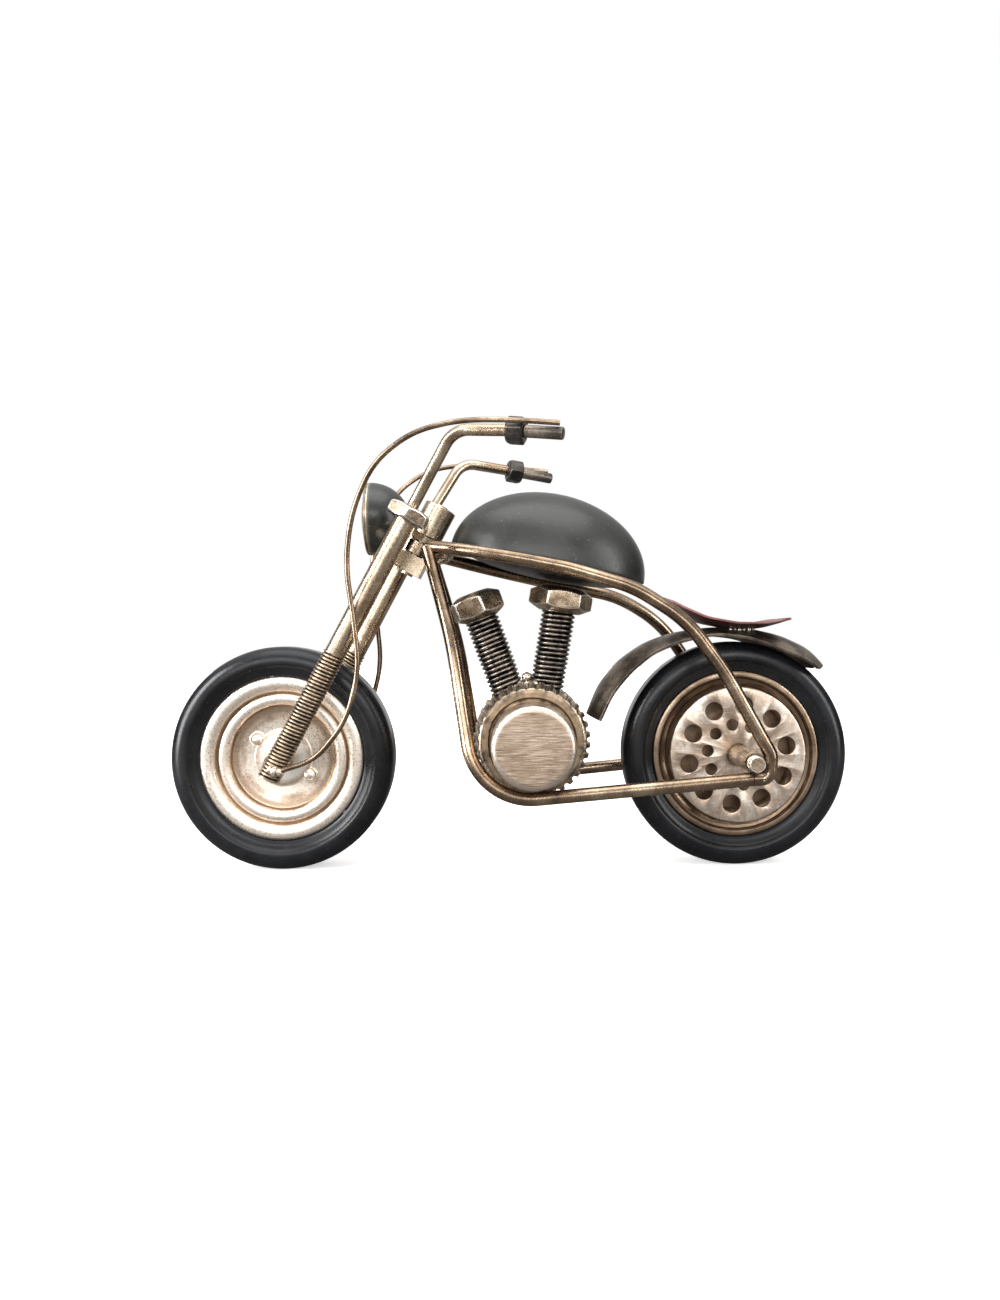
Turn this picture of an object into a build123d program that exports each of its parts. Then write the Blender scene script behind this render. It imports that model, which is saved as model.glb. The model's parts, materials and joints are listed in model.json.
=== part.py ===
from build123d import *
import os
from math import cos, radians, sin, tan

# A chopper motorcycle model welded together from nuts, bolts, rod and pressed
# sheet.  Millimetres, +Z up.  The front points along -X and the left side
# along -Y.  The origin is on the ground, half way between the axles.

# ---- driving dimensions -------------------------------------------------
WHEELBASE = 108.8
TYRE_R = 26.8
TYRE_BORE_R = 19.8
TYRE_HALF_W = 5.7
TREAD_HALF_W = 2.4
SHEET = 0.8                 # rim and disc sheet
RUN_GAP = 0.05              # radial running clearance of every moving fit

RAIL_R = 1.55
FORK_Y = 16.0               # half track of the fork legs
FORK_TUBE_R = 2.4
FORK_SCREW_R = 2.65
BAR_R = 1.35
WIRE_R = 0.6
STEM_R = 1.6
HEAD_TUBE_R = 3.2
COLLAR_R = 3.95

FRONT_AXLE_R = 1.6
REAR_AXLE_R = 1.75
REAR_AXLE_END_Y = 25.6
HUB_R = 2.8

AXLE_X = WHEELBASE / 2
AXLE_Z = TYRE_R

# Steering head: a point on the steering axis, and the axis pointing up and
# back, parallel to the fork legs.
HEAD = Vector(-17.6, 0, 83.5)
RAKE = 28.52
UP = Vector(sin(radians(RAKE)), 0, cos(radians(RAKE)))
FORK_TOP = Vector(-22.1, 0, 83.5)
FORK_LENGTH = 68.1
SCREW_LENGTH = 32.0

# Engine drum.
DRUM_X = 5.6
DRUM_Z = 30.9
DRUM_R = 12.3
GEAR_FACE_R = 12.6          # tooth tips at the outer face
GEAR_BACK_R = 13.8          # tooth tips at the back: the ring flares
GEAR_TEETH = 34
GEAR_INNER_Y = 7.0
GEAR_OUTER_Y = 12.6
CAP_R = 9.45
CAP_EDGE = 1.4              # radius of the cap's rounded edge
CAP_FACE_Y = 26.0

# Tank: half an ellipsoid that lies on a plane sloping down to the rear.
TANK_FRONT = Vector(-13.4, 0, 77.9)
TANK_REAR = Vector(33.4, 0, 67.7)
TANK_HALF_W = 15.0
TANK_HEIGHT = 17.3
TANK_WALL = 0.9
TANK_BELLY = 3.7            # drop of the base between the rails

HEADLIGHT = Vector(-32.8, 0, 84.4)      # centre of the headlight's rim
HEADLIGHT_R = 8.8
HEADLIGHT_DEPTH = 9.4

os.makedirs("parts", exist_ok=True)
nodes = {}


# ---- shape helpers ------------------------------------------------------
def rod(start, end, radius):
    """A straight round bar."""
    a, b = Vector(*start), Vector(*end)
    return extrude(Plane(origin=a, z_dir=b - a) * Circle(radius), (b - a).length)


def bent_rod(points, radii, radius):
    """A round bar along straight runs joined by tangent arcs."""
    path = FilletPolyline(*points, radius=radii)
    return sweep(Plane(origin=path @ 0, z_dir=path % 0) * Circle(radius), path=path)


def y_disc(x, z, y_from, y_to, radius):
    """A round disc or bar parallel to Y."""
    return rod((x, y_from, z), (x, y_to, z), radius)


def y_turned(profile, x, z):
    """A turned solid about an axis parallel to Y; profile holds (radius, y)."""
    face = make_face(Polyline(*profile, close=True))
    return Pos(x, 0, z) * revolve(face, axis=Axis.Y)


def hex_bar(centre, axis, across_corners, thickness, turn=0):
    """A hexagonal prism centred on a point."""
    outline = Rot(0, 0, turn) * RegularPolygon(across_corners / 2, 6)
    return extrude(Plane(origin=centre, z_dir=axis) * outline, thickness / 2, both=True)


def threaded_bar(start, end, crest_r, root_r, pitch):
    """A bar whose thread is turned as rings of the thread's pitch."""
    a, b = Vector(*start), Vector(*end)
    length = (b - a).length
    turns = int(length / pitch)
    step = length / turns
    outline = [(0, 0), (root_r, 0)]
    for turn in range(turns):
        outline.append((crest_r, (turn + 0.5) * step))
        outline.append((root_r, (turn + 1) * step))
    outline.append((0, length))
    face = Plane.XZ * make_face(Polyline(*outline, close=True))
    return Plane(origin=a, z_dir=b - a).location * revolve(face, axis=Axis.Z)


def mirrored(solid):
    """The same piece on the other side of the machine."""
    return mirror(solid, about=Plane.XZ)


def pair(name, left):
    """Left piece and its mirrored right piece, as two nodes."""
    nodes[name + "_left"] = left
    nodes[name + "_right"] = mirrored(left)


def arc_radii(points):
    """The largest tangent arcs that the runs of a wire allow."""
    radii = []
    for before, corner, after in zip(points, points[1:], points[2:]):
        run_in, run_out = Vector(*corner) - Vector(*before), Vector(*after) - Vector(*corner)
        half_turn = radians(run_in.get_angle(run_out)) / 2
        radii.append(0.45 * min(run_in.length, run_out.length) / tan(half_turn))
    return radii


def on_head(along, ahead=0.0, y=0.0):
    """A point near the steering axis: along it, and ahead of it."""
    forward = Vector(-UP.Z, 0, UP.X)
    return HEAD + UP * along + forward * ahead + Vector(0, y, 0)


def on_fork(down, y=-FORK_Y):
    """A point on a fork leg, measured down from its top."""
    return FORK_TOP - UP * down + Vector(0, y, 0)


# ---- wheels -------------------------------------------------------------
def tyre(x):
    """A round-shouldered tyre with a narrow flat tread to stand on."""
    shoulder_r, bead_r = 22.6, TYRE_BORE_R
    half = [
        Line((TYRE_R, 0), (TYRE_R, TREAD_HALF_W)),
        ThreePointArc((TYRE_R, TREAD_HALF_W), (25.4, 4.9), (shoulder_r, TYRE_HALF_W)),
        ThreePointArc((shoulder_r, TYRE_HALF_W), (20.9, 5.2), (bead_r, 3.9)),
        Line((bead_r, 3.9), (bead_r, 0)),
        Line((bead_r, 0), (TYRE_R, 0)),
    ]
    ring = revolve(make_face(Wire(half)), axis=Axis.Y)
    return Pos(x, 0, AXLE_Z) * (ring + mirror(ring, about=Plane.XZ))


def pressed_rim(steps, x):
    """A thin pressed rim whose outside face follows (radius, y) steps."""
    inside = [(r, y + SHEET) for r, y in reversed(steps)]
    return y_turned(steps + inside, x, AXLE_Z)


def hub(x, bore_r, outer_r, half_length):
    sleeve = y_disc(x, AXLE_Z, -half_length, half_length, outer_r)
    return sleeve - y_disc(x, AXLE_Z, -half_length - 1, half_length + 1, bore_r)


def make_front_wheel():
    x = -AXLE_X
    nodes["front_tyre"] = tyre(x)
    steps = [
        (HUB_R, -1.5), (12.2, -1.5), (12.9, -2.9), (14.9, -3.3), (15.5, -2.6),
        (16.3, -2.6), (16.9, -4.0), (18.9, -4.5), (TYRE_BORE_R, -4.1),
    ]
    pair("front_rim", pressed_rim(steps, x))
    nodes["front_hub"] = hub(x, FRONT_AXLE_R + RUN_GAP, HUB_R, 5.0)
    plate = y_disc(x, AXLE_Z, -1.95, -1.5, 7.0) - y_disc(x, AXLE_Z, -3, 0, HUB_R)
    rivet_r, rivet_circle, rivet_turn = 1.5, 7.6, radians(35)
    dx, dz = rivet_circle * cos(rivet_turn), rivet_circle * sin(rivet_turn)
    rivets = []
    for way in (-1, 1):
        place = (x + way * dx, AXLE_Z - way * dz)
        head = y_disc(*place, -2.7, -1.5, rivet_r)
        plate -= y_disc(*place, -3, 0, rivet_r)
        rivets += [head, mirrored(head)]
    nodes["front_hub_plates"] = Compound(children=[plate, mirrored(plate)])
    nodes["front_rivets"] = Compound(children=rivets)


def make_rear_wheel():
    x = AXLE_X
    nodes["rear_tyre"] = tyre(x)
    steps = [
        (HUB_R, -1.4), (13.6, -1.4), (14.2, -2.2), (16.6, -2.6), (17.0, -3.4),
        (18.2, -3.7), (18.6, -4.4), (TYRE_BORE_R, -4.4),
    ]
    pair("rear_rim", pressed_rim(steps, x))
    nodes["rear_hub"] = hub(x, REAR_AXLE_R + RUN_GAP, HUB_R, 6.9)
    disc_y, disc_r = -6.1, 16.0
    disc = y_disc(x, AXLE_Z, disc_y - SHEET, disc_y, disc_r)
    disc -= y_disc(x, AXLE_Z, -9, 0, HUB_R)
    holes = 10
    for hole in range(holes):
        for circle, hole_r, start in ((11.7, 2.2, -118), (7.2, 1.45, -136)):
            angle = radians(start + 360 / holes * hole)
            hx, hz = x + circle * cos(angle), AXLE_Z - circle * sin(angle)
            disc -= y_disc(hx, hz, -9, 0, hole_r)
    nodes["rear_disc"] = disc


# ---- frame --------------------------------------------------------------
# The right top rail was welded on a little lower than the left one.
TOP_RAIL = [
    (-18.6, -3.4, 77.2), (-7.0, -11.8, 75.6), (14.1, -15.4, 71.0), (29.0, -17.6, 66.2),
    (40.4, -19.2, 58.6), (48.6, -20.6, 46.8), (58.2, -22.0, 28.6), (57.9, -22.0, 23.3),
    (54.2, -22.0, 23.2),
]
TOP_RAIL_BENDS = [60, 45, 30, 30, 60, 2.6, 2.2]
RIGHT_RAIL_SAG = [1.2, 2.4, 2.5, 0.6]
CRADLE_RAIL = [
    (-18.9, -4.4, 76.8), (-12.6, -13.4, 54.0), (-7.2, -20.2, 17.9), (54.1, -22.0, 23.2),
]
CRADLE_BENDS = [60, 14.5]


def make_frame():
    bore = rod(on_head(-14), on_head(-4), STEM_R + RUN_GAP)
    nodes["head_tube"] = rod(on_head(-9.0), on_head(-6.1), HEAD_TUBE_R) - bore
    around_head_tube = rod(on_head(-14), on_head(-4), HEAD_TUBE_R + 0.02)
    collar_room = rod(on_head(-6.1), on_head(6), COLLAR_R + 0.45)

    sag = RIGHT_RAIL_SAG + [0] * (len(TOP_RAIL) - len(RIGHT_RAIL_SAG))
    right_rail = [(x, -y, z - lower) for (x, y, z), lower in zip(TOP_RAIL, sag)]
    cradle_rail = bent_rod(CRADLE_RAIL, CRADLE_BENDS, RAIL_R)
    rails = []
    for side, route, cradle in (
        ("_left", TOP_RAIL, cradle_rail), ("_right", right_rail, mirrored(cradle_rail)),
    ):
        top_rail = bent_rod(route, TOP_RAIL_BENDS, RAIL_R) - around_head_tube - collar_room
        nodes["top_rail" + side] = top_rail
        nodes["cradle_rail" + side] = cradle - around_head_tube - collar_room - top_rail
        rails += [nodes["top_rail" + side], nodes["cradle_rail" + side]]

    gusset = Pos(-16.4, 0, 76.0) * Rot(0, 12, 0) * fillet(Box(5.6, 9.0, 4.4).edges(), 1.6)
    gusset = gusset - around_head_tube - collar_room
    for rail in rails:
        gusset -= rail
    nodes["head_gusset"] = max(gusset.solids(), key=lambda solid: solid.volume)

    axle = y_disc(AXLE_X, AXLE_Z, -REAR_AXLE_END_Y, REAR_AXLE_END_Y, REAR_AXLE_R)
    nodes["rear_axle"] = axle
    sleeve = y_disc(AXLE_X, AXLE_Z, -21.4, -7.2, 2.35)
    sleeve -= y_disc(AXLE_X, AXLE_Z, -22, -7, REAR_AXLE_R)
    for rail in rails:
        sleeve -= rail
    pair("axle_sleeve", sleeve)
    return rails


# ---- engine -------------------------------------------------------------
def toothed_ring():
    """A flared ring with rounded gullets between its teeth, left side."""
    shoulder_y = -8.4
    ring = y_turned([
        (0, -GEAR_INNER_Y), (GEAR_BACK_R, -GEAR_INNER_Y), (GEAR_BACK_R, shoulder_y),
        (GEAR_FACE_R, 0.5 - GEAR_OUTER_Y), (GEAR_FACE_R - 0.5, -GEAR_OUTER_Y), (0, -GEAR_OUTER_Y),
    ], DRUM_X, DRUM_Z)
    gullet_r = 0.72
    gullets = []
    for tooth in range(GEAR_TEETH):
        angle = radians(360 / GEAR_TEETH * tooth)
        ends = []
        for tip_r, y in ((GEAR_FACE_R, -GEAR_OUTER_Y - 1), (GEAR_BACK_R, -GEAR_INNER_Y + 1)):
            reach = tip_r + 0.25
            ends.append((DRUM_X + reach * cos(angle), y, DRUM_Z + reach * sin(angle)))
        gullets.append(rod(*ends, gullet_r))
    return ring - gullets


def make_engine():
    drum = y_disc(DRUM_X, DRUM_Z, -GEAR_INNER_Y, GEAR_INNER_Y, DRUM_R)
    nodes["crankcase"] = drum
    pair("case_gear", toothed_ring())
    cap = y_disc(DRUM_X, DRUM_Z, -CAP_FACE_Y, -GEAR_OUTER_Y, CAP_R)
    face_edge = cap.edges().sort_by(Axis.Y)[0]
    pair("case_cap", fillet(face_edge, CAP_EDGE))

    thread_r, root_r, pitch = 4.15, 3.45, 1.13
    for name, foot, top, head_corners, head_height, turn in (
        ("cylinder_bolt_front", Vector(0.4, 0, 41.4), Vector(-7.2, 0, 62.9), 13.6, 6.6, 42),
        ("cylinder_bolt_rear", Vector(9.2, 0, 41.0), Vector(13.2, 0, 64.2), 15.6, 6.0, 4),
    ):
        axis = (top - foot).normalized()
        head = hex_bar(top, axis, head_corners, head_height, turn)
        neck = top - axis * (head_height / 2)
        shank = threaded_bar(foot, neck, thread_r, root_r, pitch)
        nodes[name] = (shank + head) - drum
    # The two shanks meet over the drum; the rear one is notched to clear.
    nodes["cylinder_bolt_rear"] -= nodes["cylinder_bolt_front"]
    saddle = Pos(4.6, -2.4, 44.0) * Box(5.2, 3.0, 4.2)
    saddle = fillet(saddle.edges(), 1.1) - drum
    saddle -= nodes["cylinder_bolt_front"]
    saddle -= nodes["cylinder_bolt_rear"]
    nodes["weld_saddle"] = max(saddle.solids(), key=lambda solid: solid.volume)


def make_engine_mount(rails):
    bar = rod((8.0, -20.4, 19.3), (8.0, 20.4, 19.3), 1.3)
    bar -= nodes["crankcase"]
    for rail in rails:
        bar -= rail
    for side in ("_left", "_right"):
        bar -= nodes["case_gear" + side]
    # The drum parts the bar into two stubs, one on each side.
    stubs = sorted(bar.solids(), key=lambda solid: solid.volume)[-2:]
    nodes["engine_mount_bar"] = Compound(children=stubs)


# ---- body panels --------------------------------------------------------
def band(outer, inner, half_width):
    """A sheet strip: a side outline between two curves, extruded across."""
    top = Spline(*outer)
    under = Spline(*inner)
    edges = [top, Line(outer[-1], inner[-1]), under, Line(inner[0], outer[0])]
    face = Plane.XZ * make_face(Wire(edges))
    return extrude(face, half_width, both=True)


def make_tank(rails):
    slope = TANK_REAR - TANK_FRONT
    middle = (TANK_FRONT + TANK_REAR) * 0.5
    base = Plane(origin=middle, x_dir=slope, z_dir=Vector(-slope.Z, 0, slope.X))
    half_length = slope.length / 2

    def dome(inset):
        size = (half_length - inset, TANK_HALF_W - inset, TANK_HEIGHT - inset)
        whole = scale(Sphere(1), by=size)
        return whole & Pos(0, 0, 50) * Box(200, 200, 100)

    plate = scale(Cylinder(1, 1), by=(half_length - 1.0, TANK_HALF_W - 1.0, TANK_WALL))
    plate = Pos(0, 0, TANK_WALL / 2) * plate
    shell = base.location * (dome(0) - dome(TANK_WALL) - plate)
    belly = scale(Sphere(1), by=(half_length - 2.5, TANK_HALF_W - 2.5, TANK_BELLY))
    belly = belly & Pos(0, 0, -50) * Box(200, 200, 100)
    plate = base.location * ((plate & dome(TANK_WALL)) + belly)
    for rail in rails:
        shell -= rail
        plate -= rail
    nodes["tank_shell"] = max(shell.solids(), key=lambda solid: solid.volume)
    nodes["tank_base"] = max(plate.solids(), key=lambda solid: solid.volume)


def make_mudguard_and_seat(rails):
    # The guard is a channel: a crown strip with sides that hang below it.
    crown = [
        (18.6, 35.4), (21.8, 43.4), (26.8, 49.3), (33.0, 53.5), (40.0, 56.0), (49.0, 57.2), (58.0, 57.0),
        (66.0, 55.2), (72.8, 52.0), (77.6, 46.9),
    ]
    under = [
        (19.4, 35.0), (22.5, 42.8), (27.4, 48.6), (33.4, 52.6), (40.2, 55.1), (49.0, 56.3), (57.8, 56.1),
        (65.6, 54.4), (72.2, 51.4), (76.8, 46.5),
    ]
    hem = [
        (21.4, 34.1), (24.9, 41.4), (29.4, 46.7), (34.4, 51.0), (40.8, 53.7), (49.0, 55.6), (57.2, 54.4),
        (64.2, 51.5), (70.2, 48.9), (75.6, 45.9),
    ]
    half_width, side_wall = 8.5, 0.8
    guard = band(crown, hem, half_width)
    room = [(x + (x - upper[0]), z + (z - upper[1])) for (x, z), upper in zip(hem, under)]
    guard -= band(under, room, half_width - side_wall)
    tail = Pos(49, 0, 50) * extrude(SlotOverall(57.4, 17), 40, both=True)
    guard = guard & (tail + Pos(30, 0, 50) * Box(40, 17, 80))
    nodes["mudguard"] = max(guard.solids(), key=lambda solid: solid.volume)

    rim = [(37.0, 65.0), (41.0, 62.6), (46.8, 59.9), (54.0, 58.5), (61.0, 58.3), (68.0, 59.3)]
    belly = [(37.4, 64.0), (41.2, 61.6), (46.8, 58.7), (54.0, 57.35), (61.0, 57.2), (67.6, 58.5)]
    seat = band(rim, belly, 10.0)
    outline = Pos(52.5, 0, 60) * extrude(SlotOverall(33, 20), 12, both=True)
    seat = (seat & outline) - nodes["mudguard"]
    for rail in rails:
        seat -= rail
    nodes["seat"] = max(seat.solids(), key=lambda solid: solid.volume)


# ---- fork, bars and headlight -------------------------------------------
BAR_BEND = Vector(-11.4, -21.0, 101.6)
BAR_NUT = Vector(0.65, -26.0, 100.3)
GRIP_END = Vector(12.6, -30.0, 98.6)

WIRE_POINTS = [
    (-50.9, -19.1, 25.9), (-43.4, -19.3, 28.2), (-36.4, -19.4, 36.6), (-33.2, -19.7, 48.2),
    (-34.3, -20.0, 60.2), (-35.9, -20.4, 71.8), (-34.3, -21.2, 83.6), (-29.2, -22.6, 94.2),
    (-20.6, -24.6, 100.4), (-10.2, -27.4, 102.3), (0.6, -30.2, 101.7), (11.8, -30.8, 100.7),
]


def make_fork():
    nodes["steering_stem"] = rod(on_head(-14.4), on_head(4.4), STEM_R)
    collar = rod(on_head(-4.0), on_head(4.0), COLLAR_R) - nodes["steering_stem"]

    nut_height, nut_corners = 3.4, 10.6
    tube_top, tube_bottom = -nut_height / 2, FORK_LENGTH - SCREW_LENGTH
    tube = rod(on_fork(tube_top), on_fork(tube_bottom), FORK_TUBE_R)
    screw = threaded_bar(on_fork(tube_bottom), on_fork(FORK_LENGTH), FORK_SCREW_R, 2.35, 0.97)
    axle = y_disc(-AXLE_X, AXLE_Z, -FORK_Y, FORK_Y, FRONT_AXLE_R)
    screw -= y_disc(-AXLE_X, AXLE_Z, -FORK_Y, 0, FRONT_AXLE_R + 0.01)
    nut = hex_bar(on_fork(0), UP, nut_corners, nut_height, 30)
    nut -= rod(on_fork(-10), on_fork(10), FORK_TUBE_R)
    pair("fork_tube", tube)
    pair("fork_screw", screw)
    pair("fork_nut", nut)
    nodes["front_axle"] = axle
    spacer = y_disc(-AXLE_X, AXLE_Z, -12.9, -5.3, 2.1)
    spacer -= y_disc(-AXLE_X, AXLE_Z, -14, -5, FRONT_AXLE_R)
    pair("axle_spacer", spacer)

    # Each yoke is a bar from leg to leg: the upper one with a washer under
    # the collar, the lower one with a deeper block round the stem.
    legs = [rod(on_fork(-6, y), on_fork(60, y), FORK_TUBE_R) for y in (-FORK_Y, FORK_Y)]

    def yoke_block(middle, ahead, size):
        place = Plane(origin=on_head(middle, ahead), x_dir=(UP.Z, 0, -UP.X), z_dir=UP)
        return place.location * Box(*size)

    upper = yoke_block(-4.95, 2.55, (2.7, 2 * FORK_Y, 1.5))
    upper += rod(on_head(-5.7), on_head(-4.2), COLLAR_R)
    lower = yoke_block(-11.6, 3.2, (3.4, 2 * FORK_Y, 3.2))
    lower += yoke_block(-11.6, 0.55, (7.9, 7.0, 4.4))
    for name, plate in (("upper_yoke", upper), ("lower_yoke", lower)):
        plate -= nodes["steering_stem"]
        for leg in legs:
            plate -= leg
        nodes[name] = plate
    nodes["steering_collar"] = collar

    bar_start = Vector(-21.9, -16.0, 83.9)
    bar = bent_rod([bar_start, BAR_BEND, BAR_NUT], [6.0], BAR_R)
    bar -= nut
    bar -= tube
    grip_way = (GRIP_END - BAR_NUT).normalized()
    bar_nut = hex_bar(BAR_NUT + grip_way * 2.0, grip_way, 6.5, 4.0, 30)
    pair("handlebar", max(bar.solids(), key=lambda solid: solid.volume))
    pair("bar_nut", bar_nut - bar)
    pair("grip", rod(BAR_NUT + grip_way * 4.0, GRIP_END, 1.4))


def make_wires():
    radii = arc_radii(WIRE_POINTS)
    wire = bent_rod(WIRE_POINTS, radii, WIRE_R)
    print("brake wire arc radii:", [round(radius, 1) for radius in radii])
    print("brake wire length:", round(wire.volume / (3.14159 * WIRE_R ** 2), 1))
    pair("brake_wire", wire)
    weld = Pos(-52.6, -18.5, 25.6) * Sphere(1.5)
    weld -= nodes["fork_screw_left"]
    weld -= wire
    weld = max(weld.solids(), key=lambda solid: solid.volume)
    nodes["foot_welds"] = Compound(children=[weld, mirrored(weld)])


def make_headlight():
    x, z = HEADLIGHT.X, HEADLIGHT.Z
    bulb_depth = HEADLIGHT_DEPTH

    def bowl(radius, depth):
        whole = scale(Sphere(1), by=(depth, radius, radius))
        return Pos(x, 0, z) * (whole & Pos(50, 0, 0) * Box(100, 100, 100))

    shell = bowl(HEADLIGHT_R, bulb_depth) - bowl(HEADLIGHT_R - 0.8, bulb_depth - 0.8)
    nodes["headlight_shell"] = shell
    rim = rod((x - 0.9, 0, z), (x, 0, z), HEADLIGHT_R) - rod((x - 1, 0, z), (x + 1, 0, z), 7.4)
    nodes["headlight_rim"] = rim
    lens = scale(Sphere(1), by=(2.2, 7.4, 7.4)) & Pos(-50, 0, 0) * Box(100, 100, 100)
    nodes["headlight_lens"] = Pos(x, 0, z) * lens
    stud = rod((x + 5, 0, z), on_head(0.6, 0), 1.4)
    stud -= bowl(HEADLIGHT_R, bulb_depth)
    stud -= rod(on_head(-4.0), on_head(4.0), COLLAR_R)
    nodes["headlight_stud"] = max(stud.solids(), key=lambda solid: solid.volume)


make_front_wheel()
make_rear_wheel()
frame_rails = make_frame()
make_engine()
make_engine_mount(frame_rails)
make_tank(frame_rails)
make_mudguard_and_seat(frame_rails)
make_fork()
make_wires()
make_headlight()

for name, solid in nodes.items():
    export_step(solid, f"parts/{name}.step")
print(len(nodes), "nodes")
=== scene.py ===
import json
from math import cos, hypot, pi, radians, sin
import bpy
import numpy as np
from mathutils import Matrix, Vector


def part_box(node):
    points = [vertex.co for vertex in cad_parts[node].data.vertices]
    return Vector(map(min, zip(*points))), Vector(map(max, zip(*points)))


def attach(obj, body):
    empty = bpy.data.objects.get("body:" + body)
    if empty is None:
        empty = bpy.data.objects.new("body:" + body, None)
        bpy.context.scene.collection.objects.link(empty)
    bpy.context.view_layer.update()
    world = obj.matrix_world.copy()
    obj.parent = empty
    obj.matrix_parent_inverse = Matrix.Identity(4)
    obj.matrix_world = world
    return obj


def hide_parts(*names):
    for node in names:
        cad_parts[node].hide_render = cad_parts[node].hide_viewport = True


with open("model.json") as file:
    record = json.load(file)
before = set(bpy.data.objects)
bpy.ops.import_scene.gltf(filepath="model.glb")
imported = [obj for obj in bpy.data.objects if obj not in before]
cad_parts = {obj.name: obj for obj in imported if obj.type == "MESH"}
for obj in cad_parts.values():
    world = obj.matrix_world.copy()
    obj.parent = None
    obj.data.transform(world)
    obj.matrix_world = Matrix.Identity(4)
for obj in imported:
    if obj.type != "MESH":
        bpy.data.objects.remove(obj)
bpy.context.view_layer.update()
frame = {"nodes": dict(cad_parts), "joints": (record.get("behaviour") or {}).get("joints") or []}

# The looks of a chopper motorcycle model that is welded together from nuts,
# bolts, rod and pressed sheet.  Metres, +Z up, front along -X, left along -Y.

bl_info = {
    "name": "Nuts-and-bolts motorcycle",
    "version": (1, 0, 0),
    "blender": (4, 5, 0),
    "location": "3D View > Sidebar > Motorcycle",
    "description": "Builds the detailed pieces of a welded motorcycle model around its frame",
    "category": "Add Mesh",
}

MM = 0.001


def mm(*values):
    """A point given in millimetres."""
    return Vector(values) * MM


def middle(node):
    """The middle of a frame node's box."""
    low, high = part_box(node)
    return (low + high) / 2


# ---- places taken from the frame ----------------------------------------
FRONT_AXLE = middle("front_tyre")
REAR_AXLE = middle("rear_tyre")
DRUM = middle("crankcase")
LAMP = Vector((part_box("headlight_rim")[1].x, 0, middle("headlight_rim").z))
STEERING = next(joint for joint in frame["joints"] if joint["name"] == "steering")
UP = Vector(STEERING["axis"]).normalized()
if UP.z < 0:
    UP = -UP
HEAD = mm(-17.6, 0, 83.5)
FORK_TOP = mm(-22.1, 0, 83.5)
FORK_Y = 16.0               # half track of the fork legs, in millimetres
FORK_LENGTH = 68.1
FORK_SCREW_LENGTH = 32.0
YOKE_ROUNDING = 0.9 * MM
LARGE_FLAT = 0.8e-6         # square metres above which a face is inset

# Foot and middle of the head of each cylinder bolt, and the head's size over
# its corners, its height and its turn, in millimetres and degrees.
CYLINDER_BOLTS = {
    "cylinder_bolt_front": ((0.4, 0, 41.4), (-7.2, 0, 62.9), 13.6, 6.6, 12),
    "cylinder_bolt_rear": ((9.2, 0, 41.0), (13.2, 0, 64.2), 15.6, 6.0, 34),
}

# Front and rear corner of the plane that the tank's lower edge lies on.
TANK_FRONT = mm(-13.4, 0, 77.9)
TANK_REAR = mm(33.4, 0, 67.7)
TANK_HALF_W = 15.0
TANK_HEIGHT = 17.3

BAR_NUT = mm(0.65, -26.0, 100.3)
GRIP_END = mm(12.6, -30.0, 98.6)


# ---- sizes and colours a user may change --------------------------------
def length(name, description, millimetres):
    return bpy.props.FloatProperty(
        name=name, description=description, default=millimetres * MM, min=0.0,
        unit="LENGTH", subtype="DISTANCE", precision=5,
    )


def count(name, description, default):
    return bpy.props.IntProperty(name=name, description=description, default=default, min=3)


def colour(name, description, default):
    return bpy.props.FloatVectorProperty(
        name=name, description=description, default=default, min=0.0, max=1.0, size=3, subtype="COLOR",
    )


class MotorcycleSizes(bpy.types.PropertyGroup):
    sheet: length("Rim sheet", "Thickness of the pressed wheel rims", 0.8)
    cylinder_pitch: length("Cylinder thread pitch", "Pitch of the two large bolts", 1.13)
    fork_pitch: length("Fork thread pitch", "Pitch of the threaded fork ends", 0.84)
    edge: length("Edge rounding", "Rounding of the worn edges on nuts and bolt heads", 0.28)
    tank_wall: length("Tank wall", "Thickness of the tank's pressed shell", 0.9)
    panel_wall: length("Panel wall", "Thickness of the mudguard's sheet", 0.75)
    teeth: count("Gear teeth", "Teeth on each ring beside the drum", 34)
    holes: count("Disc holes", "Holes in each circle of the rear disc", 10)


class MotorcycleColours(bpy.types.PropertyGroup):
    bronze_light: colour("Light bronze", "Rubbed bronze on rods and edges", (0.77, 0.66, 0.50))
    bronze_mid: colour("Bronze", "Antique bronze", (0.315, 0.228, 0.155))
    bronze_dark: colour("Dark bronze", "Patina in the hollows", (0.055, 0.036, 0.026))
    sheet_light: colour("Light sheet", "Rubbed crowns of the pressed sheet", (0.88, 0.79, 0.69))
    sheet_mid: colour("Sheet", "Pale bronze of the pressed sheet", (0.56, 0.43, 0.335))
    pewter: colour("Pewter", "Grey-brown sheet of the mudguard", (0.15, 0.12, 0.098))
    steel: colour("Black steel", "Blackened thread and small fittings", (0.030, 0.027, 0.025))
    enamel: colour("Black enamel", "Paint of the tank and headlight", (0.0105, 0.0112, 0.0102))
    red_brown: colour("Red-brown enamel", "Paint of the seat", (0.115, 0.036, 0.034))
    rubber: colour("Tyre black", "Satin black of the tyres", (0.004, 0.0044, 0.0055))


def sizes():
    return bpy.context.scene.motorcycle_sizes


def colours():
    return bpy.context.scene.motorcycle_colours


# ---- modelling helpers --------------------------------------------------
def choose(piece):
    """Leaves one piece selected and active."""
    bpy.ops.object.select_all(action="DESELECT")
    piece.select_set(True)
    bpy.context.view_layer.objects.active = piece


def edit(piece):
    """Opens a piece in edit mode with all of it selected."""
    choose(piece)
    bpy.ops.object.mode_set(mode="EDIT")
    bpy.ops.mesh.select_all(action="SELECT")


def close():
    bpy.ops.object.mode_set(mode="OBJECT")


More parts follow.
